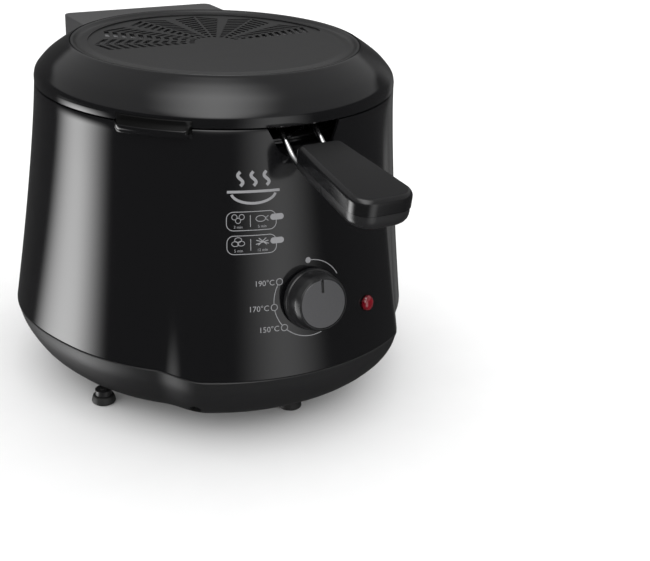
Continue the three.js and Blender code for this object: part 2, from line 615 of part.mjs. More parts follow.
// ---- Lid: bevelled ring, top disc with its fan of slots, filter and seal ----
const lidInner = SHELL_R - LID_WALL;
const discSeat = DISC_TOP_Z - DISC_T - GAP;
const discHole = DISC_R + GAP;
const lidOutside = [
  [SHELL_R, LID_BOTTOM_Z], [SHELL_R, LID_BOTTOM_Z + 3.4], [SHELL_R - 0.8, LID_BOTTOM_Z + 6.8],
  [SHELL_R - 2.8, LID_BOTTOM_Z + 9.8], [SHELL_R - 8, LID_BOTTOM_Z + 15.4],
  [SHELL_R - 15.5, LID_BOTTOM_Z + 21], [discHole + 1.4, DISC_TOP_Z + DISC_RIM_H - 0.5],
];
const lidProfile = [
  ...lidOutside, [discHole, DISC_TOP_Z + DISC_RIM_H - 0.2], [discHole, discSeat], [DISC_R - 6, discSeat],
  [DISC_R - 6, discSeat - 2.4], [DISC_R + 0.8, discSeat - 2.6], [SHELL_R - 17.2, LID_BOTTOM_Z + 18.2],
  [SHELL_R - 9.8, LID_BOTTOM_Z + 12.6], [SHELL_R - 5, LID_BOTTOM_Z + 8], [lidInner, LID_BOTTOM_Z + 4.4],
  [lidInner, LID_BOTTOM_Z],
];
const linerScrewR = DISC_R - 3;
const screwSpots = [-1, 1].map((side) => [side * linerScrewR, 0]);
let lidShell = toSolid(ring(lidProfile, WIDE));
for (const [x, y] of screwSpots) {
  lidShell = lidShell.subtract(toSolid(post(1.5 + GAP, discSeat - 6, discSeat - 1, 8).translate(x, y, 0)));
}
add(lid, 'lid_shell', toGeometry(lidShell), GLOSS_BLACK);

const discShape = new THREE.Shape().absarc(0, 0, DISC_R, 0, 2 * Math.PI);
const sector = 180 / FAN_SECTORS;
for (let s = 0; s < FAN_SECTORS; s += 1) {
  const middle = rad(sector * (s + 0.5));
  const reach = Math.tan(rad(sector / 2 - FAN_SPOKE_DEG));
  for (let row = 0; row < FAN_ROWS; row += 1) {
    const near = FAN_START_R + row * FAN_PITCH;
    const far = near + FAN_SLOT;
    const corners = [[near, -near * reach], [near, near * reach], [far, far * reach], [far, -far * reach]];
    discShape.holes.push(new THREE.Path(corners.map(
      ([u, v]) => new THREE.Vector2(u, v).rotateAround(new THREE.Vector2(), middle))));
  }
}
const rimProfile = [
  [DISC_R - DISC_RIM_W, DISC_TOP_Z - 0.4], [DISC_R - 0.1, DISC_TOP_Z - 0.4],
  [DISC_R - 0.1, DISC_TOP_Z + DISC_RIM_H - 0.4], [DISC_R - 0.7, DISC_TOP_Z + DISC_RIM_H],
  [DISC_R - DISC_RIM_W + 0.5, DISC_TOP_Z + DISC_RIM_H],
];
const discPlate = toSolid(plate(discShape, DISC_TOP_Z - DISC_T, DISC_TOP_Z, WIDE / 2));
const disc = discPlate.add(toSolid(ring(rimProfile, WIDE)));
add(lid, 'lid_disc', toGeometry(disc), SATIN_GREY);

const filterTop = DISC_TOP_Z - DISC_T - GAP;
const filter = post(FILTER_R, filterTop - FILTER_T, filterTop, MIDDLE);
add(lid, 'grease_filter', filter, ALUMINIUM);
const coverTop = filterTop - FILTER_T - GAP;
const coverShape = new THREE.Shape().absarc(0, 0, FILTER_COVER_R, 0, 2 * Math.PI);
for (let ringNumber = 1; ringNumber <= 2; ringNumber += 1) {
  const count = 6 * ringNumber;
  for (let i = 0; i < count; i += 1) {
    const angle = (2 * Math.PI * i) / count;
    const middle = new THREE.Vector2(32 * ringNumber - 6, 0).rotateAround(new THREE.Vector2(), angle);
    const corners = [0, 1, 2, 3, 4, 5].map((k) => new THREE.Vector2(COVER_HOLE_R, 0)
      .rotateAround(new THREE.Vector2(), (k * Math.PI) / 3).add(middle));
    coverShape.holes.push(new THREE.Path(corners));
  }
}
const coverPlate = plate(coverShape, coverTop - FILTER_COVER_T, coverTop, MIDDLE / 2);
add(lid, 'filter_cover', coverPlate, STEEL);

const linerTop = discSeat - 2.4 - GAP - 0.3;
const linerT = 1.2;
const linerProfile = [
  [FILTER_COVER_R + 1.4, linerTop - linerT], [DISC_R + 0.5, linerTop - linerT],
  [SHELL_R - 18, LID_BOTTOM_Z + 15.2], [SHELL_R - 9, LID_BOTTOM_Z + 8.2], [SHELL_R - 8.2, LID_BOTTOM_Z + 9.2],
  [SHELL_R - 17.6, LID_BOTTOM_Z + 16.5], [DISC_R + 1, linerTop], [FILTER_COVER_R + 1.4, linerTop],
];
let liner = toSolid(ring(linerProfile));
for (const [x, y] of screwSpots) {
  liner = liner.subtract(toSolid(post(1.5 + GAP, linerTop - 4, linerTop + 2, 8).translate(x, y, 0)));
}
add(lid, 'lid_liner', toGeometry(liner), ALUMINIUM);
screwSpots.forEach(([x, y], i) => {
  const screw = toSolid(post(3, linerTop - linerT - GAP - 1.4, linerTop - linerT - GAP, 8))
    .add(toSolid(post(1.5, linerTop - linerT - 1, discSeat - 1 - GAP, 8)));
  add(lid, `liner_screw_${i + 1}`, toGeometry(screw), STEEL).position.set(x, y, 0);
});

const sealOut = lidInner - GAP;
const sealProfile = [
  [sealOut - SEAL_W, LID_BOTTOM_Z - 1.6], [sealOut - 0.6, LID_BOTTOM_Z - 1.6], [sealOut, LID_BOTTOM_Z + 0.2],
  [sealOut, LID_BOTTOM_Z + 4], [sealOut - SEAL_W, LID_BOTTOM_Z + 4],
];
add(lid, 'lid_seal', toGeometry(toSolid(ring(sealProfile, WIDE))), RUBBER);

// ---- Finger tab on the lid's edge ----
const tabInner = SHELL_R + GAP;
const tabOuter = tabInner + TAB_DEPTH;
const tabArc = (r, half) => [-half, -half / 3, half / 3, half].map(
  (a) => new THREE.Vector2(r * Math.sin(rad(TAB_DEG + a)), -r * Math.cos(rad(TAB_DEG + a))));
const tabShape = new THREE.Shape([
  ...tabArc(tabInner, TAB_HALF_DEG), ...tabArc(tabOuter, TAB_HALF_DEG - 1).reverse()]);
const tabUnder = new THREE.Shape([
  ...tabArc(tabInner - 4, TAB_HALF_DEG + 2),
  ...tabArc(tabInner + TAB_DEPTH - 2, TAB_HALF_DEG - 3).reverse()]);
const tab = toSolid(plate(tabShape, TAB_LOW_Z, TAB_HIGH_Z))
  .subtract(toSolid(plate(tabUnder, TAB_LOW_Z - 1, LID_BOTTOM_Z)))
  .subtract(shellSolid(RUN));
add(lid, 'lid_tab', toGeometry(tab), GLOSS_BLACK);

// ---- Hinge cover: the block behind the lid, which turns with it ----
const coverOutline = (wall) => roundedOutline([
  [-COVER_HALF_X + wall, COVER_FROM_Y, 0], [COVER_HALF_X - wall, COVER_FROM_Y, 0],
  [COVER_HALF_X - wall, COVER_REAR_Y - wall, COVER_CORNER],
  [-COVER_HALF_X + wall, COVER_REAR_Y - wall, COVER_CORNER],
]);
const coverLow = LID_BOTTOM_Z + 1;
const lidCutter = toSolid(turned([
  [0, LID_BOTTOM_Z - 20], [SHELL_R + GAP, LID_BOTTOM_Z - 20],
  ...lidOutside.map(([r, z]) => [r + GAP, z + GAP]), [0, DISC_TOP_Z + DISC_RIM_H + GAP],
], WIDE));
let hingeCover = toSolid(plate(coverOutline(0), coverLow, COVER_TOP_Z))
  .subtract(toSolid(plate(coverOutline(COVER_WALL), coverLow - 1, COVER_TOP_Z - COVER_WALL)));
const lidKnuckles = [
  [-FIXED_KNUCKLE[0] + RUN, FIXED_KNUCKLE[0] - RUN],
  [FIXED_KNUCKLE[1] + RUN, FIXED_KNUCKLE[1] + 13],
  [-FIXED_KNUCKLE[1] - 13, -FIXED_KNUCKLE[1] - RUN],
];
for (const [x0, x1] of lidKnuckles) {
  const web = box([x0, HINGE_Y - 3, HINGE_Z], [x1, COVER_REAR_Y - 1, COVER_TOP_Z - 1]);
  hingeCover = hingeCover.add(toSolid(web)).add(toSolid(bar(KNUCKLE_R, x0, x1, HINGE_Y, HINGE_Z)));
}
for (const [x0, x1] of knuckleSpans) {
  const room = box([x0 - RUN, HINGE_Y - 8, coverLow - 1],
    [x1 + RUN, COVER_REAR_Y + 1, HINGE_Z + KNUCKLE_R + 2 * RUN]);
  hingeCover = hingeCover.subtract(toSolid(room));
}
hingeCover = hingeCover.subtract(lidCutter)
  .subtract(toSolid(bar(PIN_R + GAP, -60, 60, HINGE_Y, HINGE_Z)));
add(lid, 'hinge_cover', toGeometry(hingeCover), SATIN_GREY);

// ---- Basket: mesh cup, rim, wires and the two rods of the handle ----
const cupOutside = [
  [BASKET_R - 20.6, BASKET_FLOOR_Z], [BASKET_R - 10.6, BASKET_FLOOR_Z + 3.5],
  [BASKET_R - 5.1, BASKET_FLOOR_Z + BASKET_H * 0.13], [BASKET_R - 2.6, BASKET_FLOOR_Z + BASKET_H * 0.32],
  [BASKET_R - 0.6, BASKET_FLOOR_Z + BASKET_H * 0.614],
];
const cupTop = BASKET_RIM_Z - RIM_WIRE_R - GAP;
const cupSolid = (offset, top) => {
  const profile = [
    [0, BASKET_FLOOR_Z + offset],
    ...cupOutside.map(([r, z], i) => [r - offset, i < 3 ? z + offset * (1 - i / 3) : z]),
    [BASKET_R - offset, top],
    [0, top],
  ];
  const shaped = (angle, r) => {
    const front = Math.cos(rad(angle));
    return front > 0.8 ? Math.min(r, (BASKET_FLAT_Y - offset) / front) : r;
  };
  return toSolid(reshape(turned(profile, WIDE), shaped));
};
const cup = cupSolid(0, cupTop).subtract(cupSolid(BASKET_WALL, cupTop + EPS));
add(basket, 'basket_mesh', toGeometry(cup), STEEL);
const rimRing = new THREE.TorusGeometry(RIM_RING_R, RIM_WIRE_R, 8, WIDE).translate(0, 0, BASKET_RIM_Z);
add(basket, 'basket_rim', rimRing, CHROME);

const flatOut = -(BASKET_FLAT_Y + SUPPORT_WIRE_R + 0.8);
const floorUnder = BASKET_FLOOR_Z - SUPPORT_WIRE_R - 0.5;
for (const [name, side] of screwSides) {
  const x = side * SUPPORT_X;
  const path = [
    [x, -(BASKET_FLAT_Y + 5.4), BASKET_RIM_Z - RIM_WIRE_R - 1.4],
    [x, flatOut - 0.4, BASKET_RIM_Z - BASKET_H * 0.354],
    [x, flatOut, BASKET_FLOOR_Z + BASKET_H * 0.472],
    [x, flatOut, BASKET_FLOOR_Z + 8], [x, flatOut + 1.6, BASKET_FLOOR_Z - 2],
    [x, flatOut + 5.5, floorUnder - 3.1], [x, flatOut + 13, floorUnder - 2], [x, flatOut + 32, floorUnder],
  ];
  add(basket, `support_wire_${name}`, toGeometry(toSolid(wire(path, SUPPORT_WIRE_R, 24))), CHROME);
}
const drainZ = BASKET_FLOOR_Z + BASKET_H * 0.52;
const drainY = flatOut - SUPPORT_WIRE_R - BRACKET_WIRE_R - 0.7;
const drainHalf = [
  [SUPPORT_X - 7, drainY - 9, drainZ - 12.5],
  [SUPPORT_X - 2.5, drainY - 5, drainZ - 8], [SUPPORT_X, drainY, drainZ],
];
const drainLow = [0, drainY - 10, drainZ - 13];
const drainPath = [...drainHalf.map(([x, y, z]) => [-x, y, z]).reverse(), drainLow, ...drainHalf];
add(basket, 'drain_bracket', toGeometry(toSolid(wire(drainPath, BRACKET_WIRE_R, 18))), CHROME);

const rodY = -(BASKET_FLAT_Y + ROD_R + 0.8);
const stubY = flatOut - SUPPORT_WIRE_R - ROD_R - 0.8;
const loopY = rodY + ROD_R + BRACKET_WIRE_R + 0.8;
const loopZ = BASKET_RIM_Z - 0.6;
const loopEndX = SUPPORT_X + 4;
const loopEndR = RIM_RING_R - RIM_WIRE_R - BRACKET_WIRE_R - GAP;
const loopEndY = -Math.sqrt(loopEndR ** 2 - loopEndX ** 2);
const loopHalf = [
  [6, loopY, loopZ + 4], [SUPPORT_X - 5, loopY, loopZ + 0.6],
  [SUPPORT_X - 1, loopEndY + 1.6, loopZ], [loopEndX, loopEndY, loopZ],
];
const loopPath = [...loopHalf.map(([x, y, z]) => [-x, y, z]).reverse(), ...loopHalf];
add(basket, 'rod_bracket', toGeometry(toSolid(wire(loopPath, BRACKET_WIRE_R, 18))), CHROME);

// ---- Handle: two rods clamped between an upper cover and a lower grip ----
const tilt = rad(HANDLE_TILT_DEG);
const onHandle = (geometry) => geometry.rotateX(tilt).translate(0, HANDLE_REAR_Y, HANDLE_REAR_Z);
const rodDrop = COVER_H + 3.4;
const handlePoint = (back, drop) => [
  HANDLE_REAR_Y - back * Math.cos(tilt) + drop * Math.sin(tilt),
  HANDLE_REAR_Z - back * Math.sin(tilt) - drop * Math.cos(tilt),
];
const rodSteps = 40;
const apexY = -(SHELL_R - 28);
const apexZ = SHELL_TOP_Z + 12.2;
const stubZ = BASKET_RIM_Z - BASKET_H * 0.685;
const rodPath = (side) => [
  [side * ROD_X, ...handlePoint(40, rodDrop)],
  [side * ROD_X, ...handlePoint(18, rodDrop)],
  [side * ROD_X, ...handlePoint(-3, rodDrop)],
  [side * ROD_X, HANDLE_REAR_Y + 18, HANDLE_REAR_Z - 3.5],
  [side * ROD_X, apexY - 10, apexZ - 9.5],
  [side * ROD_X, apexY - 1.6, apexZ - 0.8],
  [side * ROD_X, apexY + 1.6, apexZ - 1.2],
  [side * ROD_X, rodY - 3, BASKET_RIM_Z + 18],
  [side * ROD_X, rodY, BASKET_RIM_Z + 3],
  [side * ROD_X, rodY, BASKET_RIM_Z - 8],
  [side * ROD_X, rodY, BASKET_RIM_Z - BASKET_H * 0.354],
  [side * ROD_X, rodY - 0.4, stubZ + 8],
  [side * (ROD_X + 1.5), (rodY + stubY) / 2, stubZ + 2],
  [side * (ROD_X + 5), stubY, stubZ],
  [side * (ROD_X + 11), stubY, stubZ],
];
for (const [name, side] of screwSides) {
  add(basket, `handle_rod_${name}`, toGeometry(toSolid(wire(rodPath(side), ROD_R, rodSteps))), CHROME);
}
const handleOutline = (inset) => roundedOutline([
  [-HANDLE_REAR_HALF + inset, -inset, HANDLE_REAR_CORNER],
  [-HANDLE_FRONT_HALF + inset, -HANDLE_L + inset, HANDLE_FRONT_CORNER],
  [HANDLE_FRONT_HALF - inset, -HANDLE_L + inset, HANDLE_FRONT_CORNER],
  [HANDLE_REAR_HALF - inset, -inset, HANDLE_REAR_CORNER],
]);
const coverEdge = 2.4;
const upper = toSolid(plate(handleOutline(0), -COVER_H, -coverEdge, 6))
  .add(toSolid(plate(handleOutline(coverEdge * 0.35), -coverEdge - 0.5, -coverEdge * 0.4, 6)))
  .add(toSolid(plate(handleOutline(coverEdge), -coverEdge - 1, 0, 6)));
const upperSolid = toSolid(onHandle(toGeometry(upper)));
add(basket, 'handle_cover', toGeometry(upperSolid), GLOSS_BLACK);

const gripTop = -COVER_H - GAP;
const gripLow = gripTop - GRIP_H;
const gripSide = across([
  [1, gripTop], [1, gripTop - 6.4], [-10, gripTop - 6.6], [-HANDLE_L * 0.6, gripLow], [-HANDLE_L + 9, gripLow],
  [-HANDLE_L + 2.6, gripLow + 3.2], [-HANDLE_L - 1, gripLow + 7], [-HANDLE_L - 1, gripTop],
].reverse(), -30, 30);
const gripRaw = toSolid(plate(handleOutline(0.4), gripLow - 1, gripTop, 6)).intersect(toSolid(gripSide));
const gripScrewY = -HANDLE_L * 0.68;
const gripRecess = post(3 + GAP, gripLow - 2, gripLow + 2.6).translate(0, gripScrewY, 0);
let grip = toSolid(onHandle(toGeometry(gripRaw))).subtract(toSolid(onHandle(gripRecess)));
for (const [, side] of screwSides) {
  grip = grip.subtract(toSolid(wire(rodPath(side), ROD_R + GAP, rodSteps)));
}
add(basket, 'handle_grip', toGeometry(grip), MATTE_BLACK);
const gripScrew = onHandle(post(3, gripLow + 0.6, gripLow + 2.6 - GAP).translate(0, gripScrewY, 0));
add(basket, 'handle_screw', gripScrew, STEEL);

// The origin is the middle of the whole object's footprint, on the surface it stands on.
machine.updateMatrixWorld(true);
const extent = new THREE.Box3().setFromObject(machine, true);
machine.position.y = -(extent.min.y + extent.max.y) / 2;

const fryer = new THREE.Group();
fryer.add(machine);
fryer.updateMatrixWorld(true);
export default fryer;
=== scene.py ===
# A compact deep fryer: a glossy black shell on a base tray, a fixed bowl heated from below,
# a rear-hinged lid with a filter, a thermostat knob and a wire basket with a handle.
import json
import math

import bpy
from mathutils import Matrix, Vector


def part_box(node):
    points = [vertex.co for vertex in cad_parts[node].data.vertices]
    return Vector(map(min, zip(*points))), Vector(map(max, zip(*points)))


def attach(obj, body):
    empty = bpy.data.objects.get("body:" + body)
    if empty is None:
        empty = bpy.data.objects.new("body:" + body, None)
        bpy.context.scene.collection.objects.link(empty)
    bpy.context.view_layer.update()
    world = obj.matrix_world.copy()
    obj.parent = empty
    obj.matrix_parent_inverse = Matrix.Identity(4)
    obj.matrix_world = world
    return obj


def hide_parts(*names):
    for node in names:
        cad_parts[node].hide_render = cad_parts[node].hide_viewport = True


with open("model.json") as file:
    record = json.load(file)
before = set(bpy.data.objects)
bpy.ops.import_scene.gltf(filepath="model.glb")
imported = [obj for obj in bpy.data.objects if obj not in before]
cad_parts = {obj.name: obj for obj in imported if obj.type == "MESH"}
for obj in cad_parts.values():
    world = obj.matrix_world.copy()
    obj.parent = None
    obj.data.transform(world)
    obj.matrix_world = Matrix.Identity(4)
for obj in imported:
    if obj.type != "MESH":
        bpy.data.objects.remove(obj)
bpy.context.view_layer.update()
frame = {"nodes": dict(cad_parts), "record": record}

# ---- Where things are: the bowl's upright axis is the middle of every round piece ----
# Sizes are in millimetres, and heights start at the surface that the feet stand on.
MM = 0.001
bowl_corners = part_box("fryer_bowl")
AXIS_Y = (bowl_corners[0][1] + bowl_corners[1][1]) / 2


def spot(x, y, z):
    """A point given in millimetres from the bowl's axis."""
    return Vector((x * MM, AXIS_Y + y * MM, z * MM))


def box_of(node):
    """The lowest and highest corner of a node, in millimetres from the bowl's axis."""
    middle = Vector((0, AXIS_Y, 0))
    return [(Vector(corner) - middle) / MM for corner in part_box(node)]


# ---- Camera: above and to the left of the control panel, level with the lid's far side ----
CAMERA_PLACE = spot(-341.97, -685.88, 403.36)
HEADING = math.radians(32.49)
PITCH = math.radians(24.403)
ROLL = math.radians(2.71)
LENS_MM = 63.5

look = Vector((math.sin(HEADING) * math.cos(PITCH), math.cos(HEADING) * math.cos(PITCH), -math.sin(PITCH)))
level_right = Vector((math.cos(HEADING), -math.sin(HEADING), 0))
level_up = level_right.cross(look)
right = level_right * math.cos(ROLL) + level_up * math.sin(ROLL)
up = level_up * math.cos(ROLL) - level_right * math.sin(ROLL)
bpy.ops.object.camera_add()
camera = bpy.context.object
camera.data.lens = LENS_MM
camera.matrix_world = Matrix.Translation(CAMERA_PLACE) @ Matrix((right, up, -look)).transposed().to_4x4()
bpy.context.scene.camera = camera

# ---- Studio: a wide pale floor, an even sky, and soft panels that give the gloss its bands ----
# The floor and the sky light everything evenly, and only the panels show in polished pieces.
FLOOR_WIDTH = 14
SKY = 1.4
CEILING_IN_GLOSS = 0.42
WALLS_IN_GLOSS = 0.07
CEILING_FROM = (0.26, 0.36)  # sine of the height at which the ceiling starts

bpy.context.scene.view_settings.view_transform = "Standard"
bpy.ops.mesh.primitive_plane_add(size=FLOOR_WIDTH, location=(0, 0, 0))
floor = bpy.context.object
floor.name = "studio_floor"
floor.visible_glossy = False
paper = bpy.data.materials.new("studio_paper")
paper.use_nodes = True
paper_shader = paper.node_tree.nodes["Principled BSDF"]
paper_shader.inputs["Roughness"].default_value = 0.9
paper_shader.inputs["Specular IOR Level"].default_value = 0.0
paper_fibre = paper.node_tree.nodes.new("ShaderNodeTexNoise")
paper_fibre.inputs["Scale"].default_value = 400
paper_tone = paper.node_tree.nodes.new("ShaderNodeMix")
paper_tone.data_type = "RGBA"
paper_tone.inputs["A"].default_value = (0.86, 0.86, 0.86, 1)
paper_tone.inputs["B"].default_value = (0.89, 0.89, 0.89, 1)
paper.node_tree.links.new(paper_fibre.outputs["Fac"], paper_tone.inputs["Factor"])
paper.node_tree.links.new(paper_tone.outputs["Result"], paper_shader.inputs["Base Color"])
floor.data.materials.append(paper)

world = bpy.data.worlds.new("studio_sky")
bpy.context.scene.world = world
world.use_nodes = True
sky = world.node_tree.nodes["Background"]
sky.inputs["Color"].default_value = (1, 1, 1, 1)
ray = world.node_tree.nodes.new("ShaderNodeLightPath")
way = world.node_tree.nodes.new("ShaderNodeTexCoord")
way_parts = world.node_tree.nodes.new("ShaderNodeSeparateXYZ")
ceiling = world.node_tree.nodes.new("ShaderNodeMapRange")
ceiling.interpolation_type = "SMOOTHSTEP"
ceiling.inputs["From Min"].default_value, ceiling.inputs["From Max"].default_value = CEILING_FROM
ceiling.inputs["To Min"].default_value = WALLS_IN_GLOSS
ceiling.inputs["To Max"].default_value = CEILING_IN_GLOSS
sky_share = world.node_tree.nodes.new("ShaderNodeMapRange")
sky_share.inputs["To Min"].default_value = SKY
world.node_tree.links.new(way.outputs["Generated"], way_parts.inputs["Vector"])
world.node_tree.links.new(way_parts.outputs["Z"], ceiling.inputs["Value"])
world.node_tree.links.new(ray.outputs["Is Glossy Ray"], sky_share.inputs["Value"])
world.node_tree.links.new(ceiling.outputs["Result"], sky_share.inputs["To Max"])
world.node_tree.links.new(sky_share.outputs["Result"], sky.inputs["Strength"])


def soft_panel(name, azimuth, elevation, distance, width, height, strength, fade=(0.5, 0.2), middle_z=0.12):
    """A glowing panel that faces the fryer and fades towards its edges, by a share of its size."""
    turn, rise = math.radians(azimuth), math.radians(elevation)
    away = Vector((math.cos(rise) * math.sin(turn), -math.cos(rise) * math.cos(turn), math.sin(rise)))
    middle = Vector((0, AXIS_Y, middle_z))
    bpy.ops.mesh.primitive_plane_add(size=1)
    panel = bpy.context.object
    panel.name = name
    facing = (-away).to_track_quat("-Z", "Y").to_matrix().to_4x4()
    panel.matrix_world = (Matrix.Translation(middle + away * distance) @ facing
                          @ Matrix.Diagonal((width, height, 1, 1)))
    panel.visible_camera = panel.visible_diffuse = panel.visible_shadow = False
    glow = bpy.data.materials.new(name)
    glow.use_nodes = True
    tree = glow.node_tree
    tree.nodes.remove(tree.nodes["Principled BSDF"])
    emission = tree.nodes.new("ShaderNodeEmission")
    place = tree.nodes.new("ShaderNodeTexCoord")
    sides = tree.nodes.new("ShaderNodeSeparateXYZ")
    tree.links.new(place.outputs["UV"], sides.inputs["Vector"])
    level = None
    for direction, share in zip("XY", fade):
        offset = tree.nodes.new("ShaderNodeMath")
        offset.operation = "SUBTRACT"
        offset.inputs[1].default_value = 0.5
        tree.links.new(sides.outputs[direction], offset.inputs[0])
        size = tree.nodes.new("ShaderNodeMath")
        size.operation = "ABSOLUTE"
        tree.links.new(offset.outputs[0], size.inputs[0])
        edge = tree.nodes.new("ShaderNodeMapRange")
        edge.interpolation_type = "SMOOTHSTEP"
        edge.inputs["From Min"].default_value = 0.5 - share
        edge.inputs["From Max"].default_value = 0.5
        edge.inputs["To Min"].default_value = 1
        edge.inputs["To Max"].default_value = 0
        tree.links.new(size.outputs[0], edge.inputs["Value"])
        if level is None:
            level = edge.outputs["Result"]
        else:
            both = tree.nodes.new("ShaderNodeMath")
            both.operation = "MULTIPLY"
            tree.links.new(level, both.inputs[0])
            tree.links.new(edge.outputs["Result"], both.inputs[1])
            level = both.outputs[0]
    power = tree.nodes.new("ShaderNodeMath")
    power.operation = "MULTIPLY"
    power.inputs[1].default_value = strength
    tree.links.new(level, power.inputs[0])
    tree.links.new(power.outputs[0], emission.inputs["Strength"])
    clear = tree.nodes.new("ShaderNodeBsdfTransparent")
    added = tree.nodes.new("ShaderNodeAddShader")
    tree.links.new(emission.outputs[0], added.inputs[0])
    tree.links.new(clear.outputs[0], added.inputs[1])
    tree.links.new(added.outputs[0], tree.nodes["Material Output"].inputs["Surface"])
    panel.data.materials.append(glow)
    return panel


soft_panel("left_panel", -113, -25, 1.1, 1.05, 1.15, 7.0, fade=(0.5, 0.25))
soft_panel("front_panel", 8, -8, 1.3, 1.3, 1.6, 1.25, fade=(0.5, 0.2))
soft_panel("right_panel", 118, -4, 1.3, 0.6, 1.5, 0.12, fade=(0.5, 0.15))
soft_panel("top_panel", -28, 56, 1.3, 1.7, 2.8, 2.8, fade=(0.5, 0.3), middle_z=0.2)

# ---- Body shell: one polished black moulding, round at the top and flared below ----
# Its control panel stands forward between two folds, and an inner ledge carries the bowl's rim.
# A notch in its top edge lets the basket handle out. It drops onto the base tray.
ROUND = 288  # corners of a large turned piece
POINT = 0.002  # radius of a ring that closes on the axis
RIM_R = box_of("lid_shell")[1].x
SHELL_LOW, SHELL_TOP = (corner.z for corner in box_of("body_shell"))
SHELL_WALL = 2.6
LEDGE_R = 95
LEDGE_Z = box_of("fryer_bowl")[1].z - 1.85
LEDGE_THICK = 2.6
FLARE_FROM = SHELL_LOW - 0.35
SIDE_FLARE = 14.5
REAR_FLARE = 6
PANEL_FLARE = 26
PANEL_HALF = 29  # degrees from the middle of the panel to where a fold starts
FOLD_WIDTH = 14
NOTCH_TOP_HALF = 25.5
NOTCH_LOW_HALF = 16.5
NOTCH_DEPTH = 17.5
NOTCH_CORNER = 6
NOTCH_REACH = 24


def clear_selection():
    bpy.ops.object.select_all(action="DESELECT")


def picked(piece):
    """Selects this piece alone, for the tools that work on the selected one."""
    clear_selection()
    piece.select_set(True)
    bpy.context.view_layer.objects.active = piece


def settle(piece):
    """Moves the piece's place, turn and size into its mesh."""
    picked(piece)
    bpy.ops.object.transform_apply(location=True, rotation=True, scale=True)


def tidy_mesh(piece, gap=0.005):
    """Welds doubled corners and turns all faces outwards."""
    picked(piece)
    bpy.ops.object.mode_set(mode="EDIT")
    bpy.ops.mesh.select_all(action="SELECT")
    bpy.ops.mesh.remove_doubles(threshold=gap * MM)
    bpy.ops.mesh.normals_make_consistent(inside=False)
    bpy.ops.object.mode_set(mode="OBJECT")


def turned(name, profile, sides=ROUND, closed=False, middle_y=AXIS_Y):
    """A ring raised through (radius, height) points about an upright axis, joined end to end if closed."""
    clear_selection()
    points = [(max(r, POINT), z) for r, z in profile]
    if closed:
        points.append(points[0])
    r_now, z_now = points[0]
    bpy.ops.mesh.primitive_circle_add(vertices=sides, radius=r_now * MM, location=(0, middle_y, z_now * MM))
    piece = bpy.context.object
    piece.name = name
    bpy.ops.object.mode_set(mode="EDIT")
    bpy.ops.mesh.select_all(action="SELECT")
    for r, z in points[1:]:
        bpy.ops.mesh.extrude_region_move(TRANSFORM_OT_translate={"value": (0, 0, (z - z_now) * MM)})
        bpy.ops.transform.resize(value=(r / r_now, r / r_now, 1), center_override=(0, middle_y, z * MM))
        r_now, z_now = r, z
    bpy.ops.object.mode_set(mode="OBJECT")
    settle(piece)
    tidy_mesh(piece)
    return piece


def combine(piece, other, operation="DIFFERENCE"):
    """Cuts the other piece away, or joins it on, and removes it."""
    picked(piece)
    step = piece.modifiers.new("combine", "BOOLEAN")
    step.operation = operation
    step.solver = "EXACT"
    step.object = other
    bpy.ops.object.modifier_apply(modifier=step.name)
    bpy.data.objects.remove(other, do_unlink=True)


def joined(pieces):
    """Makes one piece of many."""
    picked(pieces[0])
    for piece in pieces:
        piece.select_set(True)
    bpy.ops.object.join()
    return bpy.context.object


def soften(piece, width, segments=2, angle=35):
    """Rounds the piece's sharp edges."""
    picked(piece)
    step = piece.modifiers.new("soft_edges", "BEVEL")
    step.width = width * MM
    step.segments = segments
    step.limit_method = "ANGLE"
    step.angle_limit = math.radians(angle)
    bpy.ops.object.modifier_apply(modifier=step.name)


def rounded_plate(name, corners, thickness, segments=8):
    """A plate from z = 0 upwards, each (x, y, rounding) corner rounded by its own amount."""
    clear_selection()
    bpy.ops.mesh.primitive_circle_add(vertices=len(corners), radius=1, fill_type="NGON", location=(0, 0, 0))
    plate = bpy.context.object
    plate.name = name
    for corner, (x, y, _) in zip(plate.data.vertices, corners):
        corner.co = (x * MM, y * MM, 0)
    for x, y, rounding in corners:
        if rounding == 0:
            continue
        bpy.ops.object.mode_set(mode="EDIT")
        bpy.ops.mesh.select_mode(type="VERT")
        bpy.ops.mesh.select_all(action="DESELECT")
        bpy.ops.object.mode_set(mode="OBJECT")
        here = Vector((x * MM, y * MM, 0))
        nearest = min(plate.data.vertices, key=lambda corner: (corner.co - here).length)
        nearest.select = True
        bpy.ops.object.mode_set(mode="EDIT")
        bpy.ops.mesh.bevel(offset=rounding * MM, affect="VERTICES", segments=segments)
        bpy.ops.object.mode_set(mode="OBJECT")
    bpy.ops.object.mode_set(mode="EDIT")
    bpy.ops.mesh.select_all(action="SELECT")
    bpy.ops.mesh.extrude_region_move(TRANSFORM_OT_translate={"value": (0, 0, thickness * MM)})
    bpy.ops.object.mode_set(mode="OBJECT")
    tidy_mesh(plate)
    return plate


def placed(piece, matrix):
    """Puts the piece where the matrix says and moves that into its mesh."""
    piece.matrix_world = matrix @ piece.matrix_world
    settle(piece)
    return piece


def smooth_step(share):
    share = min(1.0, max(0.0, share))
    return share * share * (3 - 2 * share)


def skin_radius(angle, z):
    """Radius of the shell's outside, at an angle from the front in degrees and a height."""
    drop = min(1.0, max(0.0, (SHELL_TOP - z) / (SHELL_TOP - FLARE_FROM)))
    away = abs((angle + 180) % 360 - 180)
    side = RIM_R + SIDE_FLARE * drop**1.35 + REAR_FLARE * drop * smooth_step((away - 70) / 40)
    front = RIM_R + PANEL_FLARE * drop**1.1
    return side + (front - side) * (1 - smooth_step((away - PANEL_HALF) / FOLD_WIDTH))


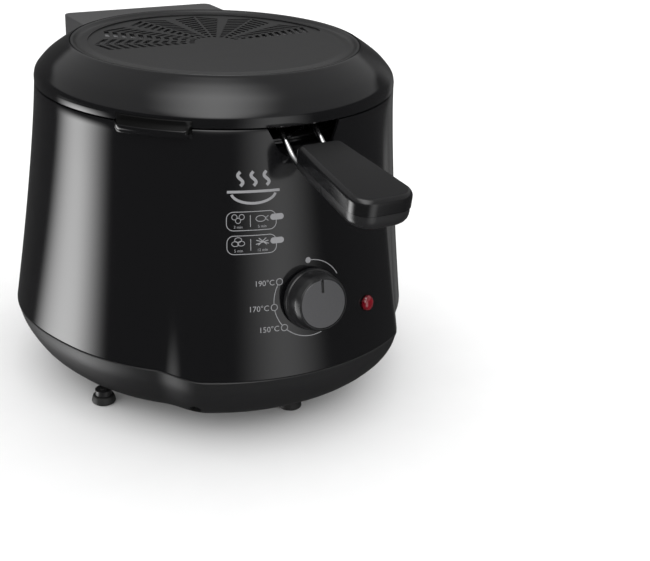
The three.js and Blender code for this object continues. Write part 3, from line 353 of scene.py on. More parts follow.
def reshaped(piece, radius_at):
    """Moves every corner to the radius that a rule gives for its angle, radius and height."""
    for corner in piece.data.vertices:
        x, y, z = corner.co.x / MM, (corner.co.y - AXIS_Y) / MM, corner.co.z / MM
        r = math.hypot(x, y)
        if r > 1:
            scale = radius_at(math.degrees(math.atan2(x, -y)), r, z) / r
            corner.co = spot(x * scale, y * scale, z)
    piece.data.update()


def new_group(name, inputs, outputs):
    """An empty shader group with named number inputs and outputs, and its input and output nodes."""
    group = bpy.data.node_groups.new(name, "ShaderNodeTree")
    for label, value in inputs.items():
        socket = group.interface.new_socket(label, in_out="INPUT", socket_type="NodeSocketFloat")
        socket.default_value = value
    for label in outputs:
        group.interface.new_socket(label, in_out="OUTPUT", socket_type="NodeSocketFloat")
    return group, group.nodes.new("NodeGroupInput"), group.nodes.new("NodeGroupOutput")


# Fine grain of a moulding, plate or casting: small bumps with a softer unevenness in them.
grain, grain_in, grain_out = new_group("fine_grain", {"Scale": 2500.0, "Detail": 3.0}, ["Height", "Mask"])
grain_place = grain.nodes.new("ShaderNodeTexCoord")
grain_noise = grain.nodes.new("ShaderNodeTexNoise")
grain_cells = grain.nodes.new("ShaderNodeTexVoronoi")
grain_mix = grain.nodes.new("ShaderNodeMath")
grain_mix.operation = "MULTIPLY"
grain.links.new(grain_place.outputs["Object"], grain_noise.inputs["Vector"])
grain.links.new(grain_place.outputs["Object"], grain_cells.inputs["Vector"])
grain.links.new(grain_in.outputs["Scale"], grain_noise.inputs["Scale"])
grain.links.new(grain_in.outputs["Scale"], grain_cells.inputs["Scale"])
grain.links.new(grain_in.outputs["Detail"], grain_noise.inputs["Detail"])
grain.links.new(grain_noise.outputs["Fac"], grain_mix.inputs[0])
grain.links.new(grain_cells.outputs["Distance"], grain_mix.inputs[1])
grain.links.new(grain_mix.outputs[0], grain_out.inputs["Height"])
grain.links.new(grain_noise.outputs["Fac"], grain_out.inputs["Mask"])

# Haze of handling and wiping: broad soft patches with a few faint streaks.
haze, haze_in, haze_out = new_group("wiping_haze", {"Scale": 14.0, "Low": 0.35, "High": 0.7}, ["Mask"])
haze_place = haze.nodes.new("ShaderNodeTexCoord")
haze_stretch = haze.nodes.new("ShaderNodeMapping")
haze_stretch.inputs["Scale"].default_value = (1, 1, 0.45)
haze_noise = haze.nodes.new("ShaderNodeTexNoise")
haze_noise.inputs["Detail"].default_value = 6
haze_noise.inputs["Roughness"].default_value = 0.62
haze_range = haze.nodes.new("ShaderNodeMapRange")
haze.links.new(haze_place.outputs["Object"], haze_stretch.inputs["Vector"])
haze.links.new(haze_stretch.outputs["Vector"], haze_noise.inputs["Vector"])
haze.links.new(haze_in.outputs["Scale"], haze_noise.inputs["Scale"])
haze.links.new(haze_noise.outputs["Fac"], haze_range.inputs["Value"])
haze.links.new(haze_in.outputs["Low"], haze_range.inputs["From Min"])
haze.links.new(haze_in.outputs["High"], haze_range.inputs["From Max"])
haze.links.new(haze_range.outputs["Result"], haze_out.inputs["Mask"])


HAZE_SCALE = 14.0


def surface(name, colour, second_colour, roughness, grain_scale, grain_depth, metallic=0.0, coat=0.0,
            shine=0.5):
    """A finish with two close tones, a roughness range and a fine grain."""
    material = bpy.data.materials.new(name)
    material.use_nodes = True
    tree = material.node_tree
    shader = tree.nodes["Principled BSDF"]
    shader.inputs["Metallic"].default_value = metallic
    shader.inputs["Coat Weight"].default_value = coat
    shader.inputs["Specular IOR Level"].default_value = shine
    fine = tree.nodes.new("ShaderNodeGroup")
    fine.node_tree = grain
    fine.inputs["Scale"].default_value = grain_scale
    broad = tree.nodes.new("ShaderNodeGroup")
    broad.node_tree = haze
    broad.inputs["Scale"].default_value = HAZE_SCALE
    tone = tree.nodes.new("ShaderNodeMix")
    tone.data_type = "RGBA"
    tone.inputs["A"].default_value = (*colour, 1)
    tone.inputs["B"].default_value = (*second_colour, 1)
    dull = tree.nodes.new("ShaderNodeMapRange")
    dull.inputs["To Min"].default_value, dull.inputs["To Max"].default_value = roughness
    bump = tree.nodes.new("ShaderNodeBump")
    bump.inputs["Strength"].default_value = 1.0
    bump.inputs["Distance"].default_value = grain_depth * MM
    tree.links.new(fine.outputs["Mask"], tone.inputs["Factor"])
    tree.links.new(tone.outputs["Result"], shader.inputs["Base Color"])
    tree.links.new(broad.outputs["Mask"], dull.inputs["Value"])
    tree.links.new(dull.outputs["Result"], shader.inputs["Roughness"])
    tree.links.new(fine.outputs["Height"], bump.inputs["Height"])
    tree.links.new(bump.outputs["Normal"], shader.inputs["Normal"])
    return material


def dressed(piece, material, body, nodes=(), angle=30):
    """Gives a finished piece its material, smooth shading and body, and hides the nodes it stands for."""
    if not piece.data.materials:
        piece.data.materials.append(material)
    picked(piece)
    bpy.ops.object.shade_smooth_by_angle(angle=math.radians(angle))
    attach(piece, body)
    if nodes:
        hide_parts(*nodes)
    return piece


polished_black = surface("polished_black", (0.0035, 0.0035, 0.004), (0.0055, 0.0055, 0.006), (0.085, 0.12),
                         900, 0.0012)

shell_inner = RIM_R - SHELL_WALL
levels = [SHELL_LOW + (SHELL_TOP - 0.9 - SHELL_LOW) * step / 30 for step in range(1, 31)]
inner_levels = [SHELL_LOW + (LEDGE_Z - LEDGE_THICK - SHELL_LOW) * step / 8 for step in range(9)]
shell_profile = [(RIM_R - 0.5, SHELL_LOW), (RIM_R, SHELL_LOW + 0.5)]
shell_profile += [(RIM_R, z) for z in levels]
shell_profile += [(RIM_R - 0.25, SHELL_TOP - 0.25), (RIM_R - 0.9, SHELL_TOP), (shell_inner + 0.4, SHELL_TOP),
                  (shell_inner, SHELL_TOP - 0.4), (shell_inner, LEDGE_Z), (LEDGE_R + 0.3, LEDGE_Z),
                  (LEDGE_R, LEDGE_Z - 0.3), (LEDGE_R, LEDGE_Z - LEDGE_THICK)]
shell_profile += [(shell_inner, z) for z in reversed(inner_levels)]
body_shell = turned("outer_shell", shell_profile, sides=480, closed=True)
reshaped(body_shell, lambda angle, r, z: r + (skin_radius(angle, z) - RIM_R) * smooth_step(
    (r - LEDGE_R) / (shell_inner - LEDGE_R)))
notch_low = SHELL_TOP - NOTCH_DEPTH
notch = rounded_plate("notch", [
    (-NOTCH_TOP_HALF, SHELL_TOP + 1, 0), (-NOTCH_LOW_HALF, notch_low, NOTCH_CORNER),
    (NOTCH_LOW_HALF, notch_low, NOTCH_CORNER), (NOTCH_TOP_HALF, SHELL_TOP + 1, 0)], NOTCH_REACH)
placed(notch, Matrix.Translation(spot(0, -shell_inner + 8, 0)) @ Matrix.Rotation(math.pi / 2, 4, "X"))
combine(body_shell, notch)


def skin_frame(angle, z):
    """A frame on the shell's skin: x to the right, y up along the skin, z out of it."""
    turn = math.radians(angle)
    out = Vector((math.sin(turn), -math.cos(turn), 0))
    slope = (skin_radius(angle, z - 1) - skin_radius(angle, z + 1)) / 2
    facing = (out + Vector((0, 0, slope))).normalized()
    side = Vector((math.cos(turn), math.sin(turn), 0))
    r = skin_radius(angle, z)
    place = spot(out.x * r, out.y * r, z)
    return Matrix.Translation(place) @ Matrix((side, facing.cross(side), facing)).transposed().to_4x4()


LAMP_ANGLE = 17.6
LAMP_Z = 84
lamp_frame = skin_frame(LAMP_ANGLE, LAMP_Z)
lamp_hole = turned("lamp_hole", [(0, -8), (4.55, -8), (4.55, 8), (0, 8)], sides=48, middle_y=0)
combine(body_shell, placed(lamp_hole, lamp_frame))
dressed(body_shell, polished_black, "root", ["body_shell"], angle=28)

# ---- Printing on the control panel: pale grey ink, pressed on after moulding ----
# A plain mark of steam over a pan, two cooking guides and the thermostat's scale round the knob.
INK_LIFT = 0.05
INK_THICK = 0.06
LINE = 0.5
knob_joint = next(joint for joint in frame["record"]["behaviour"]["joints"]
                  if joint["name"] == "thermostat_knob")
knob_place = Vector(knob_joint["pos_m"])
KNOB_Z = knob_place.z / MM
KNOB_ANGLE = math.degrees(math.atan2(knob_place.x / MM, -(knob_place.y - AXIS_Y) / MM))
ink = surface("printing_ink", (0.22, 0.22, 0.23), (0.27, 0.27, 0.28), (0.45, 0.6), 3000, 0.0005)
ink_pieces = []


def inked(piece, angle, z):
    """Wraps a flat drawing, in metres about its own middle, onto the skin at an angle and height."""
    tilt = math.atan((skin_radius(angle, z - 4) - skin_radius(angle, z + 4)) / 8)
    for corner in piece.data.vertices:
        height = z + corner.co.y / MM * math.cos(tilt)
        turn = angle + math.degrees(corner.co.x / MM / skin_radius(angle, z))
        r = skin_radius(turn, height) + INK_LIFT
        corner.co = spot(r * math.sin(math.radians(turn)), -r * math.cos(math.radians(turn)), height)
    picked(piece)
    step = piece.modifiers.new("ink", "SOLIDIFY")
    step.thickness = INK_THICK * MM
    step.offset = 0
    bpy.ops.object.modifier_apply(modifier=step.name)
    ink_pieces.append(piece)


def drawn_line(path, angle, z, width=LINE, steps=40):
    """A drawn line of even width: path gives (x, y) in millimetres for a share from 0 to 1."""
    clear_selection()
    bpy.ops.mesh.primitive_grid_add(x_subdivisions=steps, y_subdivisions=1, size=1)
    line = bpy.context.object
    for corner in line.data.vertices:
        share = corner.co.x + 0.5
        here = Vector(path(share))
        ahead = Vector(path(min(1.0, share + 0.004))) - Vector(path(max(0.0, share - 0.004)))
        aside = Vector((-ahead.y, ahead.x)).normalized() * width * corner.co.y
        corner.co = ((here.x + aside.x) * MM, (here.y + aside.y) * MM, 0)
    inked(line, angle, z)


def arc(x, y, radius, start, end, tall=1.0):
    """A path round (x, y), with angles clockwise from twelve o'clock in degrees."""
    def path(share):
        turn = math.radians(start + (end - start) * share)
        return x + radius * math.sin(turn), y + radius * tall * math.cos(turn)
    return path


def straight(x0, y0, x1, y1):
    return lambda share: (x0 + (x1 - x0) * share, y0 + (y1 - y0) * share)


def filled_round(x, y, half_width, half_height, angle, z):
    """A filled disc or pill."""
    clear_selection()
    bpy.ops.mesh.primitive_circle_add(vertices=32, radius=1, fill_type="NGON")
    spot_of_ink = bpy.context.object
    for corner in spot_of_ink.data.vertices:
        stretch = max(0.0, half_width - half_height) * (1 if corner.co.x > 0 else -1)
        radius = min(half_width, half_height)
        corner.co = ((x + corner.co.x * radius + stretch) * MM, (y + corner.co.y * radius) * MM, 0)
    inked(spot_of_ink, angle, z)


def lettering(words, x, y, size, angle, z, anchor="CENTER"):
    clear_selection()
    bpy.ops.object.text_add(location=(0, 0, 0))
    text = bpy.context.object
    text.data.body = words
    text.data.size = size * MM
    text.data.align_x = anchor
    text.data.align_y = "CENTER"
    text.data.resolution_u = 3
    bpy.ops.object.convert(target="MESH")
    text = bpy.context.object
    for corner in text.data.vertices:
        corner.co.x += x * MM
        corner.co.y += y * MM
    inked(text, angle, z)


MARK_ANGLE = -16.2
MARK_Z = 171
for rise in (-8, 0, 8):
    drawn_line(lambda share, rise=rise: (rise + 1.5 * math.sin(2 * math.pi * share), 0.5 + 8.5 * share),
               MARK_ANGLE, MARK_Z, width=1.9)
drawn_line(straight(-16, -3, 16, -3), MARK_ANGLE, MARK_Z, width=1.6)
drawn_line(arc(0, -3.4, 13.5, 100, 260, tall=0.5), MARK_ANGLE, MARK_Z, width=1.6)

GUIDE_ANGLE = -16.9
UPPER_GUIDE_Z = 150.4
LOWER_GUIDE_Z = 136
GUIDE_LINE = 0.4
GUIDE_HALF_WIDTH = 15.2
GUIDE_HALF_HEIGHT = 5.7
GUIDE_CORNER = 4.2


def frame_path(share):
    """Round the guide's frame, from the middle of its right side."""
    across, tall = GUIDE_HALF_WIDTH - GUIDE_CORNER, GUIDE_HALF_HEIGHT - GUIDE_CORNER
    quarter = GUIDE_CORNER * math.pi / 2
    along = share * (4 * across + 4 * tall + 4 * quarter)
    for length, start, step, turn in ((tall, (GUIDE_HALF_WIDTH, 0), (0, 1), None),
                                      (quarter, (across, tall), None, 0),
                                      (2 * across, (across, GUIDE_HALF_HEIGHT), (-1, 0), None),
                                      (quarter, (-across, tall), None, 90),
                                      (2 * tall, (-GUIDE_HALF_WIDTH, tall), (0, -1), None),
                                      (quarter, (-across, -tall), None, 180),
                                      (2 * across, (-across, -GUIDE_HALF_HEIGHT), (1, 0), None),
                                      (quarter, (across, -tall), None, 270),
                                      (tall, (GUIDE_HALF_WIDTH, -tall), (0, 1), None)):
        if along <= length:
            if step:
                return start[0] + step[0] * along, start[1] + step[1] * along
            swing = math.radians(turn + 90 * along / length)
            return start[0] + GUIDE_CORNER * math.cos(swing), start[1] + GUIDE_CORNER * math.sin(swing)
        along -= length
    return GUIDE_HALF_WIDTH, 0


for guide_z, minutes in ((UPPER_GUIDE_Z, ("3 min", "5 min")), (LOWER_GUIDE_Z, ("5 min", "12 min"))):
    drawn_line(frame_path, GUIDE_ANGLE, guide_z, width=0.45, steps=120)
    drawn_line(straight(-0.8, -3.6, -0.8, 3.6), GUIDE_ANGLE, guide_z, width=0.45, steps=4)
    filled_round(GUIDE_HALF_WIDTH + 0.6, 1.6, 4.3, 1.9, GUIDE_ANGLE, guide_z)
    for side, words in zip((-8.2, 6.4), minutes):
        lettering(words, side, -3.6, 2.4, GUIDE_ANGLE, guide_z)
for x, y in ((-10.4, 2.6), (-6, 2.6), (-8.2, 0.4)):
    drawn_line(arc(x, y, 1.6, 0, 360), GUIDE_ANGLE, UPPER_GUIDE_Z, width=GUIDE_LINE, steps=20)
drawn_line(arc(5.6, 1.2, 3, 0, 360, tall=0.6), GUIDE_ANGLE, UPPER_GUIDE_Z, width=GUIDE_LINE, steps=28)
drawn_line(lambda share: (8.4 + 2 * abs(2 * share - 1), 1.2 + 1.6 * (2 * share - 1)),
           GUIDE_ANGLE, UPPER_GUIDE_Z, width=GUIDE_LINE)
for x, y in ((-10.2, 0.8), (-6.6, 1), (-8.4, 3.2)):
    drawn_line(arc(x, y, 2.1, 0, 360, tall=0.72), GUIDE_ANGLE, LOWER_GUIDE_Z, width=GUIDE_LINE, steps=24)
for ends in ((2.4, 0, 10.2, 2.2), (2.6, 2.6, 10.4, 0.2), (3.8, -0.6, 8.8, 3.8), (4.2, 3.8, 9.2, -0.4)):
    drawn_line(straight(*ends), GUIDE_ANGLE, LOWER_GUIDE_Z, width=0.55, steps=4)

DIAL_R = 24.3
heat_stops = ((-56.5, "190°C"), (-96, "170°C"), (-132, "150°C"))
filled_round(0, DIAL_R, 1.9, 1.9, KNOB_ANGLE, KNOB_Z)
drawn_line(arc(0, 0, DIAL_R, 5, 62), KNOB_ANGLE, KNOB_Z, steps=50)
ring_r = 2.0
gap_turn = math.degrees(ring_r / DIAL_R)
for (turn, words), previous in zip(heat_stops, (None, heat_stops[0][0], heat_stops[1][0])):
    x, y = DIAL_R * math.sin(math.radians(turn)), DIAL_R * math.cos(math.radians(turn))
    drawn_line(arc(x, y, ring_r, 0, 360), KNOB_ANGLE, KNOB_Z, steps=32)
    lettering(words, x - ring_r - 1.2, y - 0.2, 5.0, KNOB_ANGLE, KNOB_Z, anchor="RIGHT")
    if previous:
        drawn_line(arc(0, 0, DIAL_R, previous - gap_turn, turn + gap_turn), KNOB_ANGLE, KNOB_Z, steps=30)
drawn_line(arc(0, 0, DIAL_R, heat_stops[-1][0] - gap_turn, -196), KNOB_ANGLE, KNOB_Z, steps=50)
printing = joined(ink_pieces)
printing.name = "panel_printing"
settle(printing)
dressed(printing, ink, "root")

# ---- Base tray: a dished matte moulding under the shell, held by two screws near its front ----
TRAY_LOW = box_of("base_tray")[0].z + 1.65
TRAY_TOP = FLARE_FROM
TRAY_WALL = 2.8
ROUND_TO = 0.5  # share of its radius inside which the tray stays round
PAD_HIGH = 5.6
PEG_R = 5.6
SCREW_ANGLE = 32
SCREW_Z = 22
SCREW_REACH = 0.865  # share of the tray's radius at which the screw sits
matte_black = surface("matte_black", (0.009, 0.009, 0.0095), (0.014, 0.014, 0.015), (0.42, 0.52), 1800, 0.02)
tray_nominal = RIM_R + SIDE_FLARE


def curve_through(points, steps=6):
    """Points on a smooth curve through the given ones."""
    given = [Vector(point) for point in points]
    given = [2 * given[0] - given[1], *given, 2 * given[-1] - given[-2]]
    result = []
    for a, b, c, d in zip(given, given[1:], given[2:], given[3:]):
        for step in range(steps):
            t = step / steps
            result.append(0.5 * (2 * b + (c - a) * t + (2 * a - 5 * b + 4 * c - d) * t**2
                                 + (3 * b - a - 3 * c + d) * t**3))
    return [*result, given[-2]]


tray_curve = [(0.7, 0.0), (0.81, 0.1), (0.9, 0.3), (0.97, 0.68), (1.0, 1.0)]
tray_outside = [(tray_nominal * wide, TRAY_LOW + high * (TRAY_TOP - TRAY_LOW))
                for wide, high in curve_through(tray_curve)]
tray_inside = [(r - TRAY_WALL, z + TRAY_WALL * 0.7 * (TRAY_TOP - z) / (TRAY_TOP - TRAY_LOW))
               for r, z in reversed(tray_outside[:-1])]
tray_profile = [(0, TRAY_LOW), (tray_nominal * 0.5, TRAY_LOW), *tray_outside[:-1],
                (tray_nominal - 0.1, TRAY_TOP - 0.5), (tray_nominal - 0.6, TRAY_TOP),
                (tray_nominal - TRAY_WALL, TRAY_TOP), *tray_inside, (0, TRAY_LOW + TRAY_WALL)]
base_tray = turned("tray", tray_profile, sides=480)
reshaped(base_tray, lambda angle, r, z: r * (
    1 + smooth_step((r / tray_nominal - ROUND_TO) / (1 - ROUND_TO))
    * (skin_radius(angle, TRAY_TOP) / tray_nominal - 1)))
FEET = ["foot_front", "foot_left", "foot_right", "foot_rear_left", "foot_rear_right"]
for node in FEET:
    low, high = box_of(node)
    peg_low, peg_top = low.z + PAD_HIGH + 0.35, TRAY_LOW + 2
    peg = turned("peg", [(0, peg_low), (PEG_R, peg_low), (PEG_R, peg_top), (0, peg_top)], sides=40)
    placed(peg, Matrix.Translation(((low.x + high.x) / 2 * MM, (low.y + high.y) / 2 * MM, 0)))
    combine(base_tray, peg, "UNION")
for side in (-1, 1):
    turn = math.radians(side * SCREW_ANGLE)
    reach = SCREW_REACH * skin_radius(side * SCREW_ANGLE, TRAY_TOP)
    way = Matrix.Translation(spot(reach * math.sin(turn), -reach * math.cos(turn), SCREW_Z))
    facing = Matrix.Rotation(turn, 4, "Z") @ Matrix.Rotation(math.pi / 2, 4, "X")
    well = turned("well", [(0, -6), (3.95, -6), (3.95, 14), (0, 14)], sides=40, middle_y=0)
    combine(base_tray, placed(well, way @ facing))
dressed(base_tray, matte_black, "root", ["base_tray"], angle=30)

# ---- Feet: soft black rubber pads, each pushed onto a peg of the tray ----
STEM_R = 2.4
soft_rubber = surface("soft_rubber", (0.008, 0.008, 0.008), (0.014, 0.014, 0.014), (0.6, 0.75), 1500, 0.03)
for node in FEET:
    low, high = box_of(node)
    pad_r = (high.x - low.x) / 2
    pad_profile = curve_through([(pad_r - 1.4, 0), (pad_r - 0.3, 0.5), (pad_r, 1.4), (pad_r - 0.4, 3.6)], 4)
    foot = turned(node + "_pad", [(0, 0.25), (pad_r - 3, 0.25), (pad_r - 2.6, 0), *pad_profile,
                                  (pad_r - 1, PAD_HIGH - 0.4), (pad_r - 1.6, PAD_HIGH), (STEM_R, PAD_HIGH),
                                  (STEM_R, high.z), (0, high.z)], sides=64)
    placed(foot, Matrix.Translation(((low.x + high.x) / 2 * MM, (low.y + high.y) / 2 * MM, 0)))
    dressed(foot, soft_rubber, "root", [node])

# ---- Bowl: a deep-drawn aluminium pot, fixed by its rolled rim on the shell's ledge ----
BOWL_IN = 90
BOWL_WALL = 1.5
BOWL_CORNER = 12
bowl_metal = surface("drawn_aluminium", (0.42, 0.42, 0.43), (0.5, 0.5, 0.51), (0.2, 0.34),
                     700, 0.004, metallic=1.0)
bowl_low, bowl_high = box_of("fryer_bowl")
bowl_rim_r = bowl_high.x


def quarter_bend(centre_r, centre_z, radius, start, end, steps=8):
    """Points round a bend, with angles in degrees from straight outwards."""
    turns = [math.radians(start + (end - start) * step / steps) for step in range(steps + 1)]
    return [(centre_r + radius * math.cos(turn), centre_z + radius * math.sin(turn)) for turn in turns]


bowl_floor = bowl_low.z + BOWL_WALL
bowl_top = bowl_high.z
bowl_profile = [(0, bowl_low.z), *quarter_bend(BOWL_IN - BOWL_CORNER, bowl_floor + BOWL_CORNER,
                                               BOWL_CORNER + BOWL_WALL, -90, 0),
                (BOWL_IN + BOWL_WALL, bowl_top - BOWL_WALL), (bowl_rim_r, bowl_top - BOWL_WALL),
                (bowl_rim_r, bowl_top - 0.4), (bowl_rim_r - 0.4, bowl_top),
                *quarter_bend(BOWL_IN + BOWL_WALL, bowl_top - BOWL_WALL, BOWL_WALL, 90, 180, 4),
                *quarter_bend(BOWL_IN - BOWL_CORNER, bowl_floor + BOWL_CORNER, BOWL_CORNER, 0, -90),
                (0, bowl_floor)]
dressed(turned("bowl", bowl_profile, sides=192), bowl_metal, "root", ["fryer_bowl"])

# ---- Inner works and small hardware, which keep their worked shapes ----
# Plated steel brackets, studs and screws, a brass sensor, ceramic blocks and sleeved wires.
plated_steel = surface("plated_steel", (0.42, 0.42, 0.42), (0.52, 0.52, 0.53), (0.22, 0.38),
                       1200, 0.004, metallic=1.0)
mill_aluminium = surface("mill_aluminium", (0.5, 0.5, 0.51), (0.6, 0.6, 0.61), (0.32, 0.46),
                         900, 0.005, metallic=1.0)
drawn_brass = surface("drawn_brass", (0.5, 0.35, 0.13), (0.6, 0.43, 0.18), (0.24, 0.4),
                      900, 0.004, metallic=1.0)
ceramic = surface("glazed_ceramic", (0.66, 0.62, 0.54), (0.74, 0.71, 0.64), (0.3, 0.45), 1600, 0.01)
sleeving = surface("woven_sleeving", (0.17, 0.05, 0.03), (0.26, 0.09, 0.05), (0.55, 0.75), 2600, 0.05)
inlay_black = surface("inlay_black", (0.004, 0.004, 0.004), (0.008, 0.008, 0.008), (0.3, 0.4), 1500, 0.004)
kept_nodes = {
    "heat_spreader": mill_aluminium, "heating_element": plated_steel, "heat_shield": mill_aluminium,
    "shield_stud_1": plated_steel, "shield_stud_2": plated_steel, "shield_stud_3": plated_steel,
    "thermostat": ceramic, "thermostat_bracket": plated_steel, "sensor_bulb": drawn_brass,
    "sensor_capillary": drawn_brass, "thermal_fuse": ceramic, "terminal_block": ceramic,
    "pilot_lamp": ceramic,
    "wire_live": sleeving, "wire_neutral": sleeving, "wire_lamp": sleeving, "hinge_pin": plated_steel,
    "rear_housing": matte_black, "knob_shaft": plated_steel, "knob_pointer": inlay_black,
    "grease_filter": mill_aluminium, "handle_screw": plated_steel, "corner_screw_left": plated_steel,
    "corner_screw_right": plated_steel, "liner_screw_1": plated_steel, "liner_screw_2": plated_steel,
}
for node, material in kept_nodes.items():
    frame["nodes"][node].data.materials.clear()
    frame["nodes"][node].data.materials.append(material)

# ---- Pilot lamp: a clear red domed lens pressed into the control panel ----
LENS_R = 5
red_lens = surface("red_lens", (0.16, 0.002, 0.008), (0.22, 0.003, 0.012), (0.03, 0.06),
                   1200, 0.001, coat=1.0)
red_glow = red_lens.node_tree.nodes["Principled BSDF"]
red_glow.inputs["Transmission Weight"].default_value = 0.25
lens_profile = [(0, -6), (LENS_R - 0.8, -6), (LENS_R - 0.8, 0.95), (LENS_R, 0.95), (LENS_R, 1.5),
                *quarter_bend(0, 1.5, LENS_R - 0.15, 0, 90, 10)]
lens_profile = [(r, min(z, 1.5 + (z - 1.5) * 0.58) if z > 1.5 else z) for r, z in lens_profile]
pilot_lens = placed(turned("lamp_lens", lens_profile, sides=64, middle_y=0), lamp_frame)
dressed(pilot_lens, red_lens, "root", ["pilot_lens"], angle=40)

# ---- Knob: a moulded skirt and cone with a satin metal disc let into its face ----
# It is pressed on the thermostat's shaft, and a black inlay in the disc shows the setting.
KNOB_R = 19.5
KNOB_FACE_R = 15.4
KNOB_HEIGHT = 17
CAP_THICK = 1.4
INLAY_HALF = 0.85
inlay_from = KNOB_FACE_R * 0.46
out_of_panel = -Vector(knob_joint["axis"])
knob_side = Vector((0, 0, 1)).cross(out_of_panel).normalized()
knob_frame = Matrix.Translation(knob_place) @ Matrix(
    (knob_side, out_of_panel.cross(knob_side), out_of_panel)).transposed().to_4x4()
knob_outside = [(KNOB_R - 0.9, 1.1), (KNOB_R - 0.3, 1.3), (KNOB_R, 1.9), (KNOB_R, 4.4), (KNOB_R - 0.25, 5),
                (KNOB_R - 0.9, 5.5), (KNOB_FACE_R + 2.7, KNOB_HEIGHT - 4.2),
                (KNOB_FACE_R + 2.2, KNOB_HEIGHT - 2.6),
                (KNOB_FACE_R + 1.0, KNOB_HEIGHT - 0.2), (KNOB_FACE_R + 0.7, KNOB_HEIGHT)]
knob_profile = [(0, 13.2), (5.4, 13.2), (5.4, 5), (KNOB_R - 3.2, 5), (KNOB_R - 3.2, 1.1), *knob_outside,
                (KNOB_FACE_R + 0.35, KNOB_HEIGHT), (KNOB_FACE_R + 0.35, KNOB_HEIGHT - CAP_THICK - 0.35),
                (0, KNOB_HEIGHT - CAP_THICK - 0.35)]
knob_black = surface("knob_black", (0.010, 0.010, 0.0105), (0.015, 0.015, 0.016), (0.26, 0.34), 2000, 0.008)
knob = turned("knob_body", knob_profile, sides=128, middle_y=0)
shaft_room = turned("shaft_room", [(0, -1), (3.35, -1), (3.35, 12.9), (0, 12.9)], sides=32, middle_y=0)
combine(knob, shaft_room)
dressed(placed(knob, knob_frame), knob_black, "knob", ["knob"], angle=25)
satin_disc = surface("satin_disc", (0.075, 0.075, 0.078), (0.13, 0.13, 0.135), (0.3, 0.42),
                     2600, 0.02, metallic=0.7)
cap = turned("knob_disc", [(0, KNOB_HEIGHT - CAP_THICK), (KNOB_FACE_R, KNOB_HEIGHT - CAP_THICK),
                           (KNOB_FACE_R, KNOB_HEIGHT - 0.3), (KNOB_FACE_R - 0.3, KNOB_HEIGHT), (0, KNOB_HEIGHT)],
             sides=128, middle_y=0)
inlay_groove = rounded_plate("inlay_groove", [
    (-INLAY_HALF, inlay_from, 0.3), (INLAY_HALF, inlay_from, 0.3),
    (INLAY_HALF, KNOB_FACE_R + 2, 0), (-INLAY_HALF, KNOB_FACE_R + 2, 0)], 3, segments=3)
combine(cap, placed(inlay_groove, Matrix.Translation((0, 0, (KNOB_HEIGHT - 1.2) * MM))))
dressed(placed(cap, knob_frame), satin_disc, "knob", ["knob_cap"], angle=25)

# ---- Lid shell: a polished ring with a short lip, a rounded shoulder and a broad bevel ----
LID_LOW = box_of("lid_shell")[0].z
LID_WALL = 3
DISC_R = 95.9
DISC_TOP = box_of("lid_disc")[1].z - 1.3
DISC_THICK = 2.2
disc_seat = DISC_TOP - DISC_THICK - 0.35
shoulder = curve_through([(RIM_R, LID_LOW + 3.4), (RIM_R - 0.8, LID_LOW + 6.8), (RIM_R - 2.8, LID_LOW + 9.8),
                          (RIM_R - 8, LID_LOW + 15.4), (RIM_R - 15.5, LID_LOW + 21),
                          (DISC_R + 1.75, DISC_TOP + 0.8)], 6)
lid_outside = [(RIM_R - 0.4, LID_LOW), (RIM_R, LID_LOW + 0.4), *shoulder]
lid_profile = [*lid_outside, (DISC_R + 0.9, DISC_TOP + 1.15), (DISC_R + 0.35, DISC_TOP + 1.1),
               (DISC_R + 0.35, disc_seat), (DISC_R - 6, disc_seat), (DISC_R - 6, disc_seat - 2.4),
               (DISC_R + 0.8, disc_seat - 2.6), (RIM_R - 17.2, LID_LOW + 18.2), (RIM_R - 9.8, LID_LOW + 12.6),
               (RIM_R - 5, LID_LOW + 8), (RIM_R - LID_WALL, LID_LOW + 4.4), (RIM_R - LID_WALL, LID_LOW)]
lid_shell = turned("lid_ring", lid_profile, closed=True)
for side in (-1, 1):
    screw_hole = turned("screw_hole", [(0, disc_seat - 6), (1.85, disc_seat - 6), (1.85, disc_seat - 1),
                                       (0, disc_seat - 1)], sides=24)
    combine(lid_shell, placed(screw_hole, Matrix.Translation((side * (DISC_R - 3) * MM, 0, 0))))
dressed(lid_shell, polished_black, "lid", ["lid_shell"], angle=35)

# ---- Lid disc: a satin grey moulding clipped into the ring, with a raised rim and a groove inside it ----
# Its rear half is a fan of slots that lets the steam out, six sectors between solid spokes.
SECTORS = 6
SLOT_ROWS = 11
SLOT_FROM = 15
SLOT_PITCH = 6.2
SLOT_WIDTH = 3.6
SPOKE_HALF = 3.2
WEB_HALF = 0.8
POCKET_DEEP = 0.9
satin_grey = surface("satin_grey", (0.009, 0.009, 0.0095), (0.013, 0.013, 0.0135), (0.28, 0.34), 2200, 0.008)
disc_profile = [(0, DISC_TOP - DISC_THICK), (DISC_R - 0.3, DISC_TOP - DISC_THICK),
                (DISC_R, DISC_TOP - DISC_THICK + 0.3), (DISC_R, DISC_TOP + 0.7), (DISC_R - 0.4, DISC_TOP + 1.2),
                (DISC_R - 0.9, DISC_TOP + 1.3), (DISC_R - 1.7, DISC_TOP + 1.25), (DISC_R - 2.4, DISC_TOP + 0.8),
                (DISC_R - 3.4, DISC_TOP - 0.35), (DISC_R - 4.6, DISC_TOP - 0.75), (DISC_R - 6.5, DISC_TOP - 0.7),
                (DISC_R - 9, DISC_TOP - 0.25), (DISC_R - 11, DISC_TOP - 0.02), (DISC_R - 12.5, DISC_TOP),
                (0, DISC_TOP)]
lid_disc = turned("vent_disc", disc_profile)
pocket_r = SLOT_FROM + SLOT_ROWS * SLOT_PITCH + 1.5
pocket_corners = [(pocket_r * math.cos(math.radians(turn)), pocket_r * math.sin(math.radians(turn)), 0)
                  for turn in range(6, 175, 4)]
